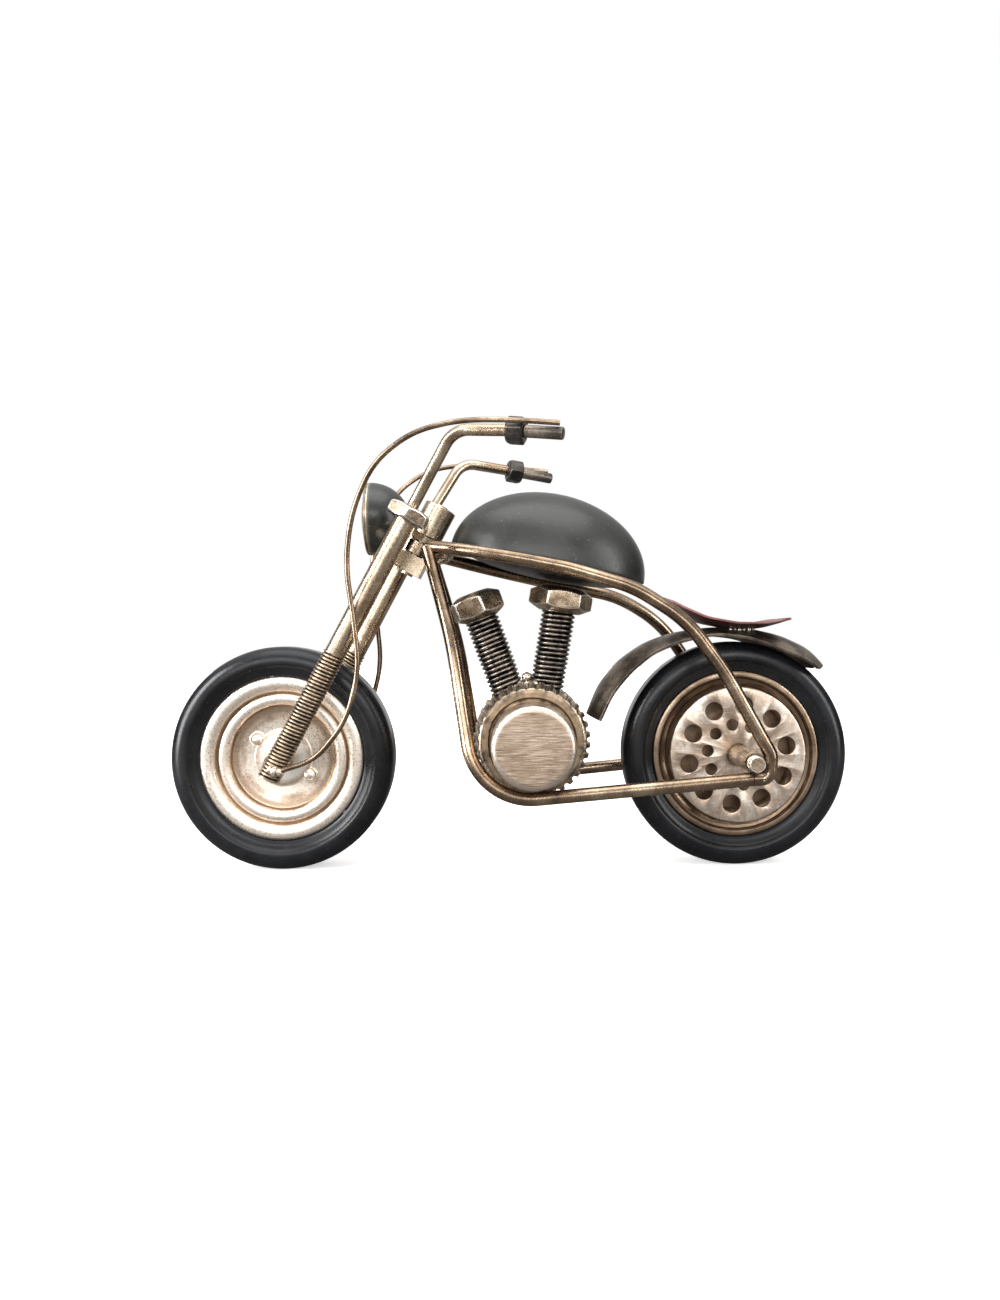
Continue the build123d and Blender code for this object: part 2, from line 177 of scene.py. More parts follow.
def new_piece(name):
    """The primitive that was just added, under its own name."""
    piece = bpy.context.object
    piece.name = name
    piece.data.name = name
    return piece


def primitive(kind, name=None, **settings):
    """Adds one mesh primitive with nothing else selected."""
    bpy.ops.object.select_all(action="DESELECT")
    getattr(bpy.ops.mesh, "primitive_" + kind + "_add")(**settings)
    return new_piece(name) if name else bpy.context.object


def modify(piece, kind, **settings):
    """Adds a modifier and applies it."""
    choose(piece)
    modifier = piece.modifiers.new(kind.lower(), kind)
    for key, value in settings.items():
        setattr(modifier, key, value)
    bpy.ops.object.modifier_apply(modifier=modifier.name)


def boolean(piece, tool, operation="DIFFERENCE"):
    """Cuts or intersects a piece with a tool, and removes the tool."""
    modify(piece, "BOOLEAN", object=tool, operation=operation, solver="EXACT")
    bpy.data.objects.remove(tool)


def bevel(piece, width, segments=2, angle=30):
    modify(
        piece, "BEVEL", width=width, segments=segments, limit_method="ANGLE",
        angle_limit=radians(angle), use_clamp_overlap=True,
    )


def heal(piece):
    """Merges doubles, then turns every face outwards."""
    edit(piece)
    bpy.ops.mesh.remove_doubles(threshold=1e-6)
    bpy.ops.mesh.normals_make_consistent(inside=False)
    close()


def join(pieces, name):
    bpy.ops.object.select_all(action="DESELECT")
    for piece in pieces:
        piece.select_set(True)
    bpy.context.view_layer.objects.active = pieces[0]
    bpy.ops.object.join()
    return new_piece(name)


def drawn_line(name, points):
    """An edge chain, extruded point by point from a plane merged to one vertex."""
    line = primitive("plane", name, size=MM)
    edit(line)
    bpy.ops.mesh.merge(type="CENTER")
    bpy.ops.transform.translate(value=points[0])
    for before, after in zip(points, points[1:]):
        bpy.ops.mesh.extrude_vertices_move(TRANSFORM_OT_translate={"value": after - before})
    close()
    return line


def turned(name, steps, centre=None, sides=96):
    """A turned piece from (radius, distance along) steps in millimetres.

    It turns about an axis parallel to Y through a centre, or about Z at the
    origin where no centre is given.
    """
    if centre is None:
        start, axis = Vector((0, 0, 0)), (0, 0, 1)
        points = [mm(radius, 0, along) for radius, along in steps]
    else:
        start, axis = Vector((centre.x, 0, centre.z)), (0, 1, 0)
        points = [start + mm(radius, along, 0) for radius, along in steps]
    piece = drawn_line(name, points)
    edit(piece)
    bpy.ops.mesh.spin(steps=sides, angle=2 * pi, center=start, axis=axis)
    close()
    heal(piece)
    return piece


def place(piece, origin, along):
    """Moves a piece modelled about Z to its own axis, and keeps Y sideways."""
    upward = along.normalized()
    sideways = (Vector((0, 1, 0)) - upward * upward.y).normalized()
    across = sideways.cross(upward)
    turn = Matrix((across, sideways, upward)).transposed().to_4x4()
    choose(piece)
    piece.matrix_world = Matrix.Translation(origin) @ turn
    bpy.ops.object.transform_apply(location=True, rotation=True, scale=True)
    return piece


def copied(piece, name):
    twin = piece.copy()
    twin.data = piece.data.copy()
    twin.name = name
    twin.data.name = name
    bpy.context.scene.collection.objects.link(twin)
    return twin


def mirrored(piece, name):
    """The same piece on the other side of the machine."""
    twin = copied(piece, name)
    twin.data.transform(Matrix.Scale(-1, 4, Vector((0, 1, 0))))
    twin.data.flip_normals()
    return twin


def thread(name, root, crest, pitch, depth, sides=28):
    """A helical thread about Z, from 0 to its depth, cut flat at both ends."""
    land = 0.16 * pitch
    flank = root + 0.75 * (crest - root)
    outline = [
        (root, 0), (flank, 0.5 * pitch - 1.6 * land), (crest, 0.5 * pitch - 0.6 * land),
        (crest, 0.5 * pitch + 0.6 * land), (flank, 0.5 * pitch + 1.6 * land), (root, pitch),
    ]
    turns = int(depth / pitch) + 3
    line = drawn_line(name, [Vector((radius, 0, along - pitch)) for radius, along in outline])
    modify(
        line, "SCREW", axis="Z", angle=2 * pi, screw_offset=pitch, iterations=turns,
        steps=sides, render_steps=sides, use_merge_vertices=True, merge_threshold=1e-6,
    )
    for height, way in ((0.0, -1), (depth, 1)):
        edit(line)
        bpy.ops.mesh.remove_doubles(threshold=1e-6)
        bpy.ops.mesh.select_all(action="SELECT")
        bpy.ops.mesh.bisect(
            plane_co=(0, 0, height), plane_no=(0, 0, way), use_fill=True, clear_outer=True, threshold=1e-7,
        )
        close()
    heal(line)
    return line


def hexagon(name, corners, height, chamfer, turn=0.0, bore=0.0):
    """A hexagon head or nut about Z with turned chamfers, in millimetres."""
    radius, half = corners / 2, height / 2
    piece = primitive(
        "cylinder", name, vertices=6, radius=radius * MM, depth=height * MM, rotation=(0, 0, radians(turn)),
    )
    bpy.ops.object.transform_apply(location=True, rotation=True, scale=True)
    face, side = radius - 1.9 * chamfer, radius + 0.1 * chamfer
    cone = turned(name + "_cone", [
        (0, -half - 0.05), (face, -half - 0.05), (side, chamfer - half), (side, half - chamfer),
        (face, half + 0.05), (0, half + 0.05),
    ], sides=72)
    boolean(piece, cone, "INTERSECT")
    if bore:
        boolean(piece, primitive(
            "cylinder", name + "_bore", vertices=48, radius=bore * MM, depth=2 * height * MM,
        ))
    heal(piece)
    bevel(piece, sizes().edge, segments=2, angle=24)
    heal(piece)
    inset_flats(piece, 0.8 * sizes().edge)
    return piece


def inset_flats(piece, width):
    """Insets the large flat faces, so that wear stays close to their edges."""
    edit(piece)
    bpy.ops.mesh.select_all(action="DESELECT")
    close()
    for face in piece.data.polygons:
        face.select = face.area > LARGE_FLAT
    choose(piece)
    bpy.ops.object.mode_set(mode="EDIT")
    bpy.ops.mesh.select_mode(type="FACE")
    bpy.ops.mesh.inset(thickness=width, use_individual=True, use_even_offset=False)
    bpy.ops.mesh.select_mode(type="VERT")
    close()


def weld(name, beads, grain=0.22, rough=0.10, seed=1):
    """A lumpy run of weld from (point, radius) beads, in metres and millimetres."""
    piece = join([
        primitive("ico_sphere", subdivisions=3, radius=radius * MM, location=point)
        for point, radius in beads
    ], name)
    choose(piece)
    bpy.ops.object.transform_apply(location=True, rotation=True, scale=True)
    modify(piece, "REMESH", mode="VOXEL", voxel_size=grain * MM)
    edit(piece)
    bpy.ops.transform.vertex_random(offset=rough * MM, uniform=0.3, normal=0.8, seed=seed)
    bpy.ops.mesh.vertices_smooth(factor=0.5, repeat=2)
    close()
    return piece


def mark_wear(piece):
    """Stores on each point how far it stands proud (+) or lies in a hollow (-)."""
    mesh = piece.data
    points = np.empty(len(mesh.vertices) * 3)
    mesh.vertices.foreach_get("co", points)
    points = points.reshape(-1, 3)
    normals = np.empty(len(mesh.vertices) * 3)
    mesh.vertices.foreach_get("normal", normals)
    normals = normals.reshape(-1, 3)
    ends = np.empty(len(mesh.edges) * 2, dtype=int)
    mesh.edges.foreach_get("vertices", ends)
    ends = ends.reshape(-1, 2)
    reach = points[ends[:, 0]] - points[ends[:, 1]]
    reach /= np.maximum(np.linalg.norm(reach, axis=1), 1e-9)[:, None]
    proud = np.zeros(len(points))
    shared = np.zeros(len(points))
    for end, way in ((0, 1), (1, -1)):
        here = ends[:, end]
        np.add.at(proud, here, way * (reach * normals[here]).sum(axis=1))
        np.add.at(shared, here, 1)
    proud /= np.maximum(shared, 1)
    store = mesh.attributes.new("wear", "FLOAT", "POINT")
    store.data.foreach_set("value", proud)


def finish(piece, body, slot, material_key, *replaced, smooth=35):
    """Shades a piece, and ties it to its body, material and frame nodes; the slot is not used."""
    choose(piece)
    bpy.ops.object.shade_smooth_by_angle(angle=radians(smooth))
    mark_wear(piece)
    piece.data.materials.clear()
    piece.data.materials.append(material_for(material_key))
    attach(piece, body)
    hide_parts(*replaced)


def repaint(material_key, *names):
    """Gives frame nodes that keep their shape a better material."""
    for name in names:
        mesh = frame["nodes"][name].data
        mesh.materials.clear()
        mesh.materials.append(material_for(material_key))


def on_fork(down):
    """A point on the left fork leg, measured down from its top in millimetres."""
    return FORK_TOP - UP * down * MM + Vector((0, -FORK_Y * MM, 0))


def both_sides(piece, name):
    """The left piece under its side's name, and its mirrored right twin."""
    twin = mirrored(piece, name + "_right_looks")
    piece.name = name + "_left_looks"
    piece.data.name = piece.name
    return ((piece, "_left"), (twin, "_right"))


# ---- shared shader effects ----------------------------------------------
def shader_group(name, inputs, outputs):
    """An empty shader group with its named number inputs and outputs."""
    group = bpy.data.node_groups.new(name, "ShaderNodeTree")
    for label, default in inputs.items():
        socket = group.interface.new_socket(label, in_out="INPUT", socket_type="NodeSocketFloat")
        socket.default_value = default
    for label in outputs:
        group.interface.new_socket(label, in_out="OUTPUT", socket_type="NodeSocketFloat")
    given = group.nodes.new("NodeGroupInput").outputs
    result = group.nodes.new("NodeGroupOutput").inputs
    return group, given, result


def feed(tree, socket, value):
    """Links a socket into another, or sets a plain number or colour on it."""
    if isinstance(value, bpy.types.NodeSocket):
        tree.links.new(value, socket)
    elif hasattr(value, "__len__") and len(value) == 3 and len(socket.default_value) == 4:
        socket.default_value = (*value, 1.0)
    else:
        socket.default_value = value


def maths(tree, operation, first, second=0.0):
    node = tree.nodes.new("ShaderNodeMath")
    node.operation = operation
    feed(tree, node.inputs[0], first)
    feed(tree, node.inputs[1], second)
    return node.outputs[0]


def between(tree, value, low, high, to_low=0.0, to_high=1.0):
    """Maps a value smoothly from one range to another."""
    node = tree.nodes.new("ShaderNodeMapRange")
    node.interpolation_type = "SMOOTHSTEP"
    for socket, amount in zip(node.inputs, (value, low, high, to_low, to_high)):
        feed(tree, socket, amount)
    return node.outputs[0]


def mixed(tree, factor, first, second):
    """A colour between two colours."""
    node = tree.nodes.new("ShaderNodeMix")
    node.data_type = "RGBA"
    feed(tree, node.inputs["Factor"], factor)
    feed(tree, node.inputs[6], first)
    feed(tree, node.inputs[7], second)
    return node.outputs[2]


def noise(tree, scale, detail=4.0, roughness=0.55, stretch=(1, 1, 1)):
    """Noise on a piece's own coordinates, in features per metre."""
    place_node = tree.nodes.new("ShaderNodeTexCoord")
    mapping = tree.nodes.new("ShaderNodeMapping")
    mapping.inputs["Scale"].default_value = stretch
    tree.links.new(place_node.outputs["Object"], mapping.inputs["Vector"])
    node = tree.nodes.new("ShaderNodeTexNoise")
    tree.links.new(mapping.outputs["Vector"], node.inputs["Vector"])
    feed(tree, node.inputs["Scale"], scale)
    feed(tree, node.inputs["Detail"], detail)
    feed(tree, node.inputs["Roughness"], roughness)
    return node.outputs["Fac"]


def patina_group():
    """Broad blotches of patina, fine grain and small rubbed scratches."""
    tree, given, result = shader_group(
        "Patina", {"Blotch Scale": 260.0, "Grain Scale": 2600.0}, ("Blotch", "Grain", "Scratch"),
    )
    feed(tree, result["Blotch"], noise(tree, given["Blotch Scale"], 6.0, 0.62))
    feed(tree, result["Grain"], noise(tree, given["Grain Scale"], 3.0, 0.6))
    streaks = noise(tree, given["Blotch Scale"], 8.0, 0.72, (1.0, 1.0, 6.0))
    feed(tree, result["Scratch"], between(tree, streaks, 0.56, 0.66))
    return tree


def rubbed_group():
    """Worn crowns and edges, and dirt that stays in the hollows."""
    tree, given, result = shader_group(
        "Rubbed Edges", {"Edge Start": 0.05, "Edge Full": 0.2, "Hollow Full": 0.16, "Break": 0.1},
        ("Edge", "Hollow"),
    )
    wear = tree.nodes.new("ShaderNodeAttribute")
    wear.attribute_name = "wear"
    broken = maths(tree, "MULTIPLY", maths(tree, "SUBTRACT", noise(tree, 900.0, 4.0), 0.5), given["Break"])
    proud = maths(tree, "ADD", wear.outputs["Fac"], broken)
    feed(tree, result["Edge"], between(tree, proud, given["Edge Start"], given["Edge Full"]))
    deep = maths(tree, "MULTIPLY", wear.outputs["Fac"], -1.0)
    feed(tree, result["Hollow"], between(tree, deep, 0.015, given["Hollow Full"]))
    return tree


def brushing_group():
    """Fine straight brush strokes along one direction."""
    tree, given, result = shader_group("Brushing", {"Strokes": 150.0}, ("Stroke",))
    long_strokes = noise(tree, given["Strokes"], 5.0, 0.7, (1.0, 1.0, 26.0))
    feed(tree, result["Stroke"], long_strokes)
    return tree


def dust_group():
    """Small pale specks of dust."""
    tree, given, result = shader_group("Dust", {"Speck Scale": 1500.0, "Amount": 0.5}, ("Speck",))
    specks = between(tree, noise(tree, given["Speck Scale"], 2.0, 0.5), 0.66, 0.76)
    feed(tree, result["Speck"], maths(tree, "MULTIPLY", specks, given["Amount"]))
    return tree


SHARED_GROUPS = {
    "Patina": patina_group, "Rubbed Edges": rubbed_group, "Brushing": brushing_group, "Dust": dust_group,
}


def effect(tree, name, **values):
    """Places a shared shader group in a material, with its own values."""
    node = tree.nodes.new("ShaderNodeGroup")
    node.node_tree = bpy.data.node_groups.get(name) or SHARED_GROUPS[name]()
    for label, value in values.items():
        node.inputs[label.replace("_", " ")].default_value = value
    return node.outputs


# ---- materials ----------------------------------------------------------
def new_material(name):
    material = bpy.data.materials.new(name)
    material.use_nodes = True
    tree = material.node_tree
    return material, tree, tree.nodes["Principled BSDF"].inputs


def bump(tree, height, distance):
    node = tree.nodes.new("ShaderNodeBump")
    node.inputs["Strength"].default_value = 1.0
    node.inputs["Distance"].default_value = distance * MM
    feed(tree, node.inputs["Height"], height)
    return node.outputs["Normal"]


def antique_metal(
    name, dark, middle_tone, light, edge, rough=0.34, low=0.36, high=0.64, blotch=260.0,
    edge_start=0.05, edge_full=0.2, hollow_full=0.16, depth=0.03, scratch=0.35, metallic=1.0,
):
    """Patinated metal: dark in the hollows, rubbed bright on its edges."""
    material, tree, shader = new_material(name)
    patina = effect(tree, "Patina", Blotch_Scale=blotch, Grain_Scale=2600.0)
    worn = effect(
        tree, "Rubbed Edges", Edge_Start=edge_start, Edge_Full=edge_full, Hollow_Full=hollow_full,
    )
    blotches = between(tree, patina["Blotch"], low, high)
    lower = mixed(tree, between(tree, blotches, 0.0, 0.5), dark, middle_tone)
    tone = mixed(tree, between(tree, blotches, 0.5, 1.0), lower, light)
    scratches = maths(tree, "MULTIPLY", patina["Scratch"], scratch)
    tone = mixed(tree, scratches, tone, edge)
    tone = mixed(tree, worn["Edge"], tone, edge)
    tone = mixed(tree, worn["Hollow"], tone, dark)
    feed(tree, shader["Base Color"], tone)
    shader["Metallic"].default_value = metallic
    feed(tree, shader["Roughness"], between(tree, patina["Grain"], 0.3, 0.7, rough - 0.05, rough + 0.12))
    feed(tree, shader["Normal"], bump(tree, patina["Grain"], depth))
    return material


def blended(first, second, share):
    """A colour part of the way from one property colour to another."""
    return tuple(a + (b - a) * share for a, b in zip(first, second))


# Tones of each antique metal: patina, middle tone, light tone and rubbed edge.
# A tone is a colour, a property's name, or two of these and a share between.
RUBBED = (0.93, 0.88, 0.8)
METALS = {
    "rod": ("Rod bronze", (
        ("bronze_dark", "bronze_mid", 0.35), ("bronze_dark", "bronze_mid", 0.85),
        ("bronze_mid", "bronze_light", 0.3), "bronze_light",
    ), {
        "rough": 0.2, "blotch": 120.0, "low": 0.3, "high": 0.75, "scratch": 0.1, "depth": 0.006,
        "edge_start": 0.1, "edge_full": 0.5, "hollow_full": 0.1,
    }),
    "bar": ("Polished bar bronze", (
        "bronze_mid", ("bronze_mid", "bronze_light", 0.3), ("bronze_mid", "bronze_light", 0.7),
        "bronze_light",
    ), {
        "rough": 0.24, "blotch": 150.0, "low": 0.3, "high": 0.7, "scratch": 0.15, "depth": 0.006,
        "edge_start": 0.1, "edge_full": 0.5, "hollow_full": 0.1,
    }),
    "sheet": ("Pale pressed bronze", (
        ("bronze_mid", "sheet_mid", 0.3), "sheet_mid", ("sheet_mid", "sheet_light", 0.8), "sheet_light",
    ), {
        "rough": 0.3, "low": 0.25, "high": 0.7, "blotch": 150.0, "edge_start": 0.012,
        "edge_full": 0.08, "hollow_full": 0.06, "scratch": 0.5,
    }),
    "rear_rim": ("Dark pressed bronze", (
        ("bronze_dark", "bronze_mid", 0.5), ("bronze_dark", "bronze_mid", 0.9),
        ("bronze_mid", "sheet_mid", 0.3), ("bronze_mid", "sheet_mid", 0.8),
    ), {
        "rough": 0.32, "low": 0.3, "high": 0.7, "blotch": 150.0, "edge_start": 0.2,
        "edge_full": 0.9, "hollow_full": 0.085, "scratch": 0.25,
    }),
    "disc": ("Perforated disc bronze", (
        ("bronze_mid", "sheet_mid", 0.6), "sheet_mid", "sheet_light", RUBBED,
    ), {
        "rough": 0.32, "low": 0.34, "high": 0.66, "blotch": 240.0, "edge_start": 0.06,
        "edge_full": 0.18, "scratch": 0.6,
    }),
    "nut": ("Rubbed nut bronze", (
        ("bronze_dark", "bronze_mid", 0.5), "bronze_mid", ("bronze_mid", "bronze_light", 0.35), RUBBED,
    ), {"rough": 0.28, "blotch": 300.0, "edge_start": 0.04, "edge_full": 0.14, "scratch": 0.45}),
    "thread": ("Dark thread", (
        "steel", (0.21, 0.18, 0.157), (0.3, 0.265, 0.23), (0.5, 0.45, 0.4),
    ), {
        "rough": 0.3, "edge_start": 0.1, "edge_full": 0.4, "hollow_full": 0.3, "scratch": 0.1,
        "blotch": 320.0,
    }),
    "fork_thread": ("Bronzed thread", (
        "bronze_dark", ("bronze_dark", "bronze_mid", 0.6), "bronze_mid",
        ("bronze_mid", "bronze_light", 0.75),
    ), {
        "rough": 0.34, "edge_start": 0.07, "edge_full": 0.36, "hollow_full": 0.2, "scratch": 0.25,
        "blotch": 420.0,
    }),
    "gear": ("Toothed ring bronze", (
        "bronze_dark", ("bronze_dark", "bronze_mid", 0.6), "bronze_mid", "bronze_light",
    ), {"rough": 0.34, "edge_start": 0.06, "edge_full": 0.26, "scratch": 0.3}),
    "weld": ("Weld", (
        ("bronze_dark", "bronze_mid", 0.4), "bronze_mid", "bronze_light", "sheet_light",
    ), {"rough": 0.3, "edge_start": 0.02, "edge_full": 0.1, "hollow_full": 0.07, "blotch": 700.0}),
    "steel": ("Black steel", (
        ("steel", (0, 0, 0), 0.4), "steel", ("steel", "pewter", 0.3), ("pewter", "bronze_light", 0.3),
    ), {"rough": 0.32, "scratch": 0.12, "edge_start": 0.1, "edge_full": 0.3, "metallic": 0.6}),
    "pewter": ("Pewter sheet", (
        ("steel", "pewter", 0.45), "pewter", ("pewter", "bronze_light", 0.12),
        ("pewter", "bronze_light", 0.4),
    ), {
        "rough": 0.4, "blotch": 210.0, "scratch": 0.2, "edge_start": 0.1, "edge_full": 0.35,
        "hollow_full": 0.5,
    }),
}


def tone_of(tone):
    """The colour that a tone of the table stands for."""
    if isinstance(tone, str):
        return getattr(colours(), tone)
    if isinstance(tone[0], (int, float)):
        return tone
    return blended(tone_of(tone[0]), tone_of(tone[1]), tone[2])


def table_metal(key):
    name, tones, settings = METALS[key]
    return antique_metal(name, *(tone_of(tone) for tone in tones), **settings)


def blotched(tree, patina, low, high, first, second):
    """Two colours mixed in broad blotches."""
    return mixed(tree, between(tree, patina["Blotch"], low, high), first, second)


def brushed_cap():
    """Bronze with straight brush strokes across its face and a rubbed rounded edge."""
    tones = colours()
    material, tree, shader = new_material("Brushed cap bronze")
    patina = effect(tree, "Patina", Blotch_Scale=150.0, Grain_Scale=2600.0)
    worn = effect(tree, "Rubbed Edges", Edge_Start=0.03, Edge_Full=0.11, Hollow_Full=0.2, Break=0.02)
    strokes = effect(tree, "Brushing", Strokes=260.0)["Stroke"]
    ground = blotched(
        tree, patina, 0.32, 0.68, blended(tones.bronze_mid, tones.sheet_mid, 0.35),
        blended(tones.bronze_mid, tones.sheet_mid, 0.95),
    )
    light = blended(tones.sheet_mid, tones.sheet_light, 0.6)
    dark = blended(tones.bronze_mid, tones.bronze_dark, 0.25)
    stroked = mixed(tree, between(tree, strokes, 0.52, 0.7), ground, light)
    stroked = mixed(tree, between(tree, strokes, 0.5, 0.36), stroked, dark)
    stroked = mixed(tree, worn["Edge"], stroked, RUBBED)
    feed(tree, shader["Base Color"], stroked)
    shader["Metallic"].default_value = 1.0
    feed(tree, shader["Roughness"], between(tree, strokes, 0.3, 0.7, 0.26, 0.42))
    feed(tree, shader["Normal"], bump(tree, strokes, 0.05))
    return material


def enamel_finish(name, tint, highlight, rough, dust):
    """Satin enamel with faint orange peel, cloudy tone and specks of dust."""
    material, tree, shader = new_material(name)
    patina = effect(tree, "Patina", Blotch_Scale=90.0, Grain_Scale=1100.0)
    worn = effect(tree, "Rubbed Edges", Edge_Start=0.14, Edge_Full=0.4, Hollow_Full=0.3)
    speck = effect(tree, "Dust", Amount=dust)["Speck"]
    cloudy = blotched(tree, patina, 0.35, 0.65, tint, highlight)
    dusty = mixed(tree, speck, cloudy, (0.32, 0.31, 0.28))
    rubbed = blended(highlight, (0.3, 0.27, 0.22), 0.3)
    feed(tree, shader["Base Color"], mixed(tree, worn["Edge"], dusty, rubbed))
    feed(tree, shader["Roughness"], between(tree, patina["Blotch"], 0.3, 0.7, rough - 0.05, rough + 0.07))
    feed(tree, shader["Normal"], bump(tree, patina["Grain"], 0.035))
    return material


def black_enamel():
    tint = colours().enamel
    return enamel_finish("Black enamel", tint, blended(tint, (0.04, 0.043, 0.037), 0.3), 0.36, 0.2)


def seat_enamel():
    """Red-brown enamel, darker brown on the faces that look down: painted shade underneath."""
    tones = colours()
    material, tree, shader = new_material("Red-brown enamel")
    patina = effect(tree, "Patina", Blotch_Scale=170.0, Grain_Scale=1300.0)
    worn = effect(tree, "Rubbed Edges", Edge_Start=0.06, Edge_Full=0.3, Hollow_Full=0.3)
    facing = tree.nodes.new("ShaderNodeNewGeometry")
    split = tree.nodes.new("ShaderNodeSeparateXYZ")
    tree.links.new(facing.outputs["Normal"], split.inputs["Vector"])
    light_tone = blended(tones.red_brown, (0.34, 0.16, 0.15), 0.4)
    skin = blotched(tree, patina, 0.35, 0.68, tones.red_brown, light_tone)
    # The darker brown on faces that look down is painted shade.
    dark = blended(tones.red_brown, (0.02, 0.012, 0.01), 0.75)
    under = mixed(tree, between(tree, split.outputs["Z"], -0.97, -0.55), dark, skin)
    feed(tree, shader["Base Color"], mixed(tree, worn["Edge"], under, light_tone))
    feed(tree, shader["Roughness"], between(tree, patina["Blotch"], 0.3, 0.7, 0.3, 0.42))
    feed(tree, shader["Normal"], bump(tree, patina["Grain"], 0.03))
    return material


def tyre_black():
    """Satin black tyre with a faint moulding grain."""
    tint = colours().rubber
    material, tree, shader = new_material("Tyre black")
    patina = effect(tree, "Patina", Blotch_Scale=120.0, Grain_Scale=1800.0)
    speck = effect(tree, "Dust", Speck_Scale=1900.0, Amount=0.12)["Speck"]
    cloudy = blotched(tree, patina, 0.3, 0.7, tint, blended(tint, (0.03, 0.032, 0.036), 0.2))
    feed(tree, shader["Base Color"], mixed(tree, speck, cloudy, (0.22, 0.22, 0.22)))
    feed(tree, shader["Roughness"], between(tree, patina["Blotch"], 0.3, 0.7, 0.25, 0.33))
    feed(tree, shader["Normal"], bump(tree, patina["Grain"], 0.02))
    shader["Specular IOR Level"].default_value = 0.3
    return material


def lens_glass():
    """Smoked headlight lens with a faintly uneven surface."""
    material, tree, shader = new_material("Smoked lens")
    patina = effect(tree, "Patina", Blotch_Scale=160.0, Grain_Scale=900.0)
    smoke = blotched(tree, patina, 0.3, 0.7, (0.03, 0.032, 0.034), (0.09, 0.093, 0.095))
    feed(tree, shader["Base Color"], smoke)
    feed(tree, shader["Roughness"], between(tree, patina["Grain"], 0.3, 0.7, 0.07, 0.14))
    feed(tree, shader["Normal"], bump(tree, patina["Grain"], 0.012))
    shader["Coat Weight"].default_value = 0.6
    return material


MATERIAL_MAKERS = {
    "cap": brushed_cap, "enamel": black_enamel, "seat": seat_enamel, "tyre": tyre_black, "lens": lens_glass,
}
made_materials = {}


def material_for(key):
    """Each material is made once, when the first piece asks for it."""
    if key not in made_materials:
        made_materials[key] = table_metal(key) if key in METALS else MATERIAL_MAKERS[key]()
    return made_materials[key]


# ---- wheels -------------------------------------------------------------
TYRE_R = 26.8
TREAD_HALF_W = 2.2
SHOULDER_R = 23.4
TYRE_HALF_W = 5.7

# Outside faces of the pressed rims: radius, and distance from the middle.
FRONT_RIM = [
    (2.8, 1.5), (11.9, 1.45), (12.35, 1.6), (12.6, 2.0), (12.8, 2.7), (13.1, 3.15), (13.7, 3.45),
    (14.4, 3.5), (15.1, 3.35), (15.5, 2.95), (15.75, 2.75), (16.0, 2.95), (16.3, 3.7), (16.8, 4.2),
    (17.8, 4.5), (18.8, 4.45), (19.4, 4.2), (19.75, 3.7),
]
REAR_RIM = [
    (2.8, 1.4), (13.4, 1.4), (13.9, 1.9), (14.3, 2.3), (15.6, 2.5), (16.4, 2.6), (16.7, 3.1), (17.1, 3.4),
    (17.9, 3.6), (18.2, 4.0), (18.5, 4.4), (19.2, 4.5), (19.6, 4.3), (19.78, 3.8),
]
SIDEWALL = [
    (22.9, 5.72), (22.5, 5.62), (22.25, 5.35), (22.05, 5.0), (21.5, 4.65), (20.7, 4.3), (20.0, 4.1),
    (19.8, 3.85),
]


def tyre_piece(name, centre):
    """A tyre with a narrow tread, elliptical shoulders and a step at the bead."""
    steps = 9
    half = []
    for step in range(steps + 1):
        angle = pi / 2 * step / steps
        radius = SHOULDER_R + (TYRE_R - SHOULDER_R) * cos(angle)
        half.append((radius, TREAD_HALF_W + (TYRE_HALF_W - TREAD_HALF_W) * sin(angle)))
    half += SIDEWALL
    other = [(radius, -side) for radius, side in half]
    return turned(name, other[::-1] + half + [other[-1]], centre, sides=144)


def rim_piece(name, outside, centre):
    """A pressed rim of even sheet, for the left side of a wheel."""
    sheet = sizes().sheet / MM
    front = [(radius, -side) for radius, side in outside]
    back = [(radius, sheet - side) for radius, side in outside]
    return turned(name, front + back[::-1] + [front[0]], centre, sides=120)


class MESH_OT_motorcycle_tyres(bpy.types.Operator):
    """Turns the two tyres and ties each to its wheel"""
    bl_idname = "mesh.motorcycle_tyres"
    bl_label = "Tyres"

    def execute(self, context):
        for end, centre in (("front", FRONT_AXLE), ("rear", REAR_AXLE)):
            piece = tyre_piece(end + "_tyre_looks", centre)
            finish(piece, end + "_wheel", "tyre", "tyre", end + "_tyre", smooth=40)
        return {"FINISHED"}


class MESH_OT_motorcycle_rims(bpy.types.Operator):
    """Turns the pressed rims of both wheels"""
    bl_idname = "mesh.motorcycle_rims"
    bl_label = "Rims"

    def execute(self, context):
        for end, outside, centre, finish_key in (
            ("front", FRONT_RIM, FRONT_AXLE, "sheet"), ("rear", REAR_RIM, REAR_AXLE, "rear_rim"),
        ):
            rim = rim_piece(end + "_rim", outside, centre)
            for piece, side in both_sides(rim, end + "_rim"):
                finish(
                    piece, end + "_wheel", "pale_bronze_sheet", finish_key,
                    end + "_rim" + side,
                )
        return {"FINISHED"}


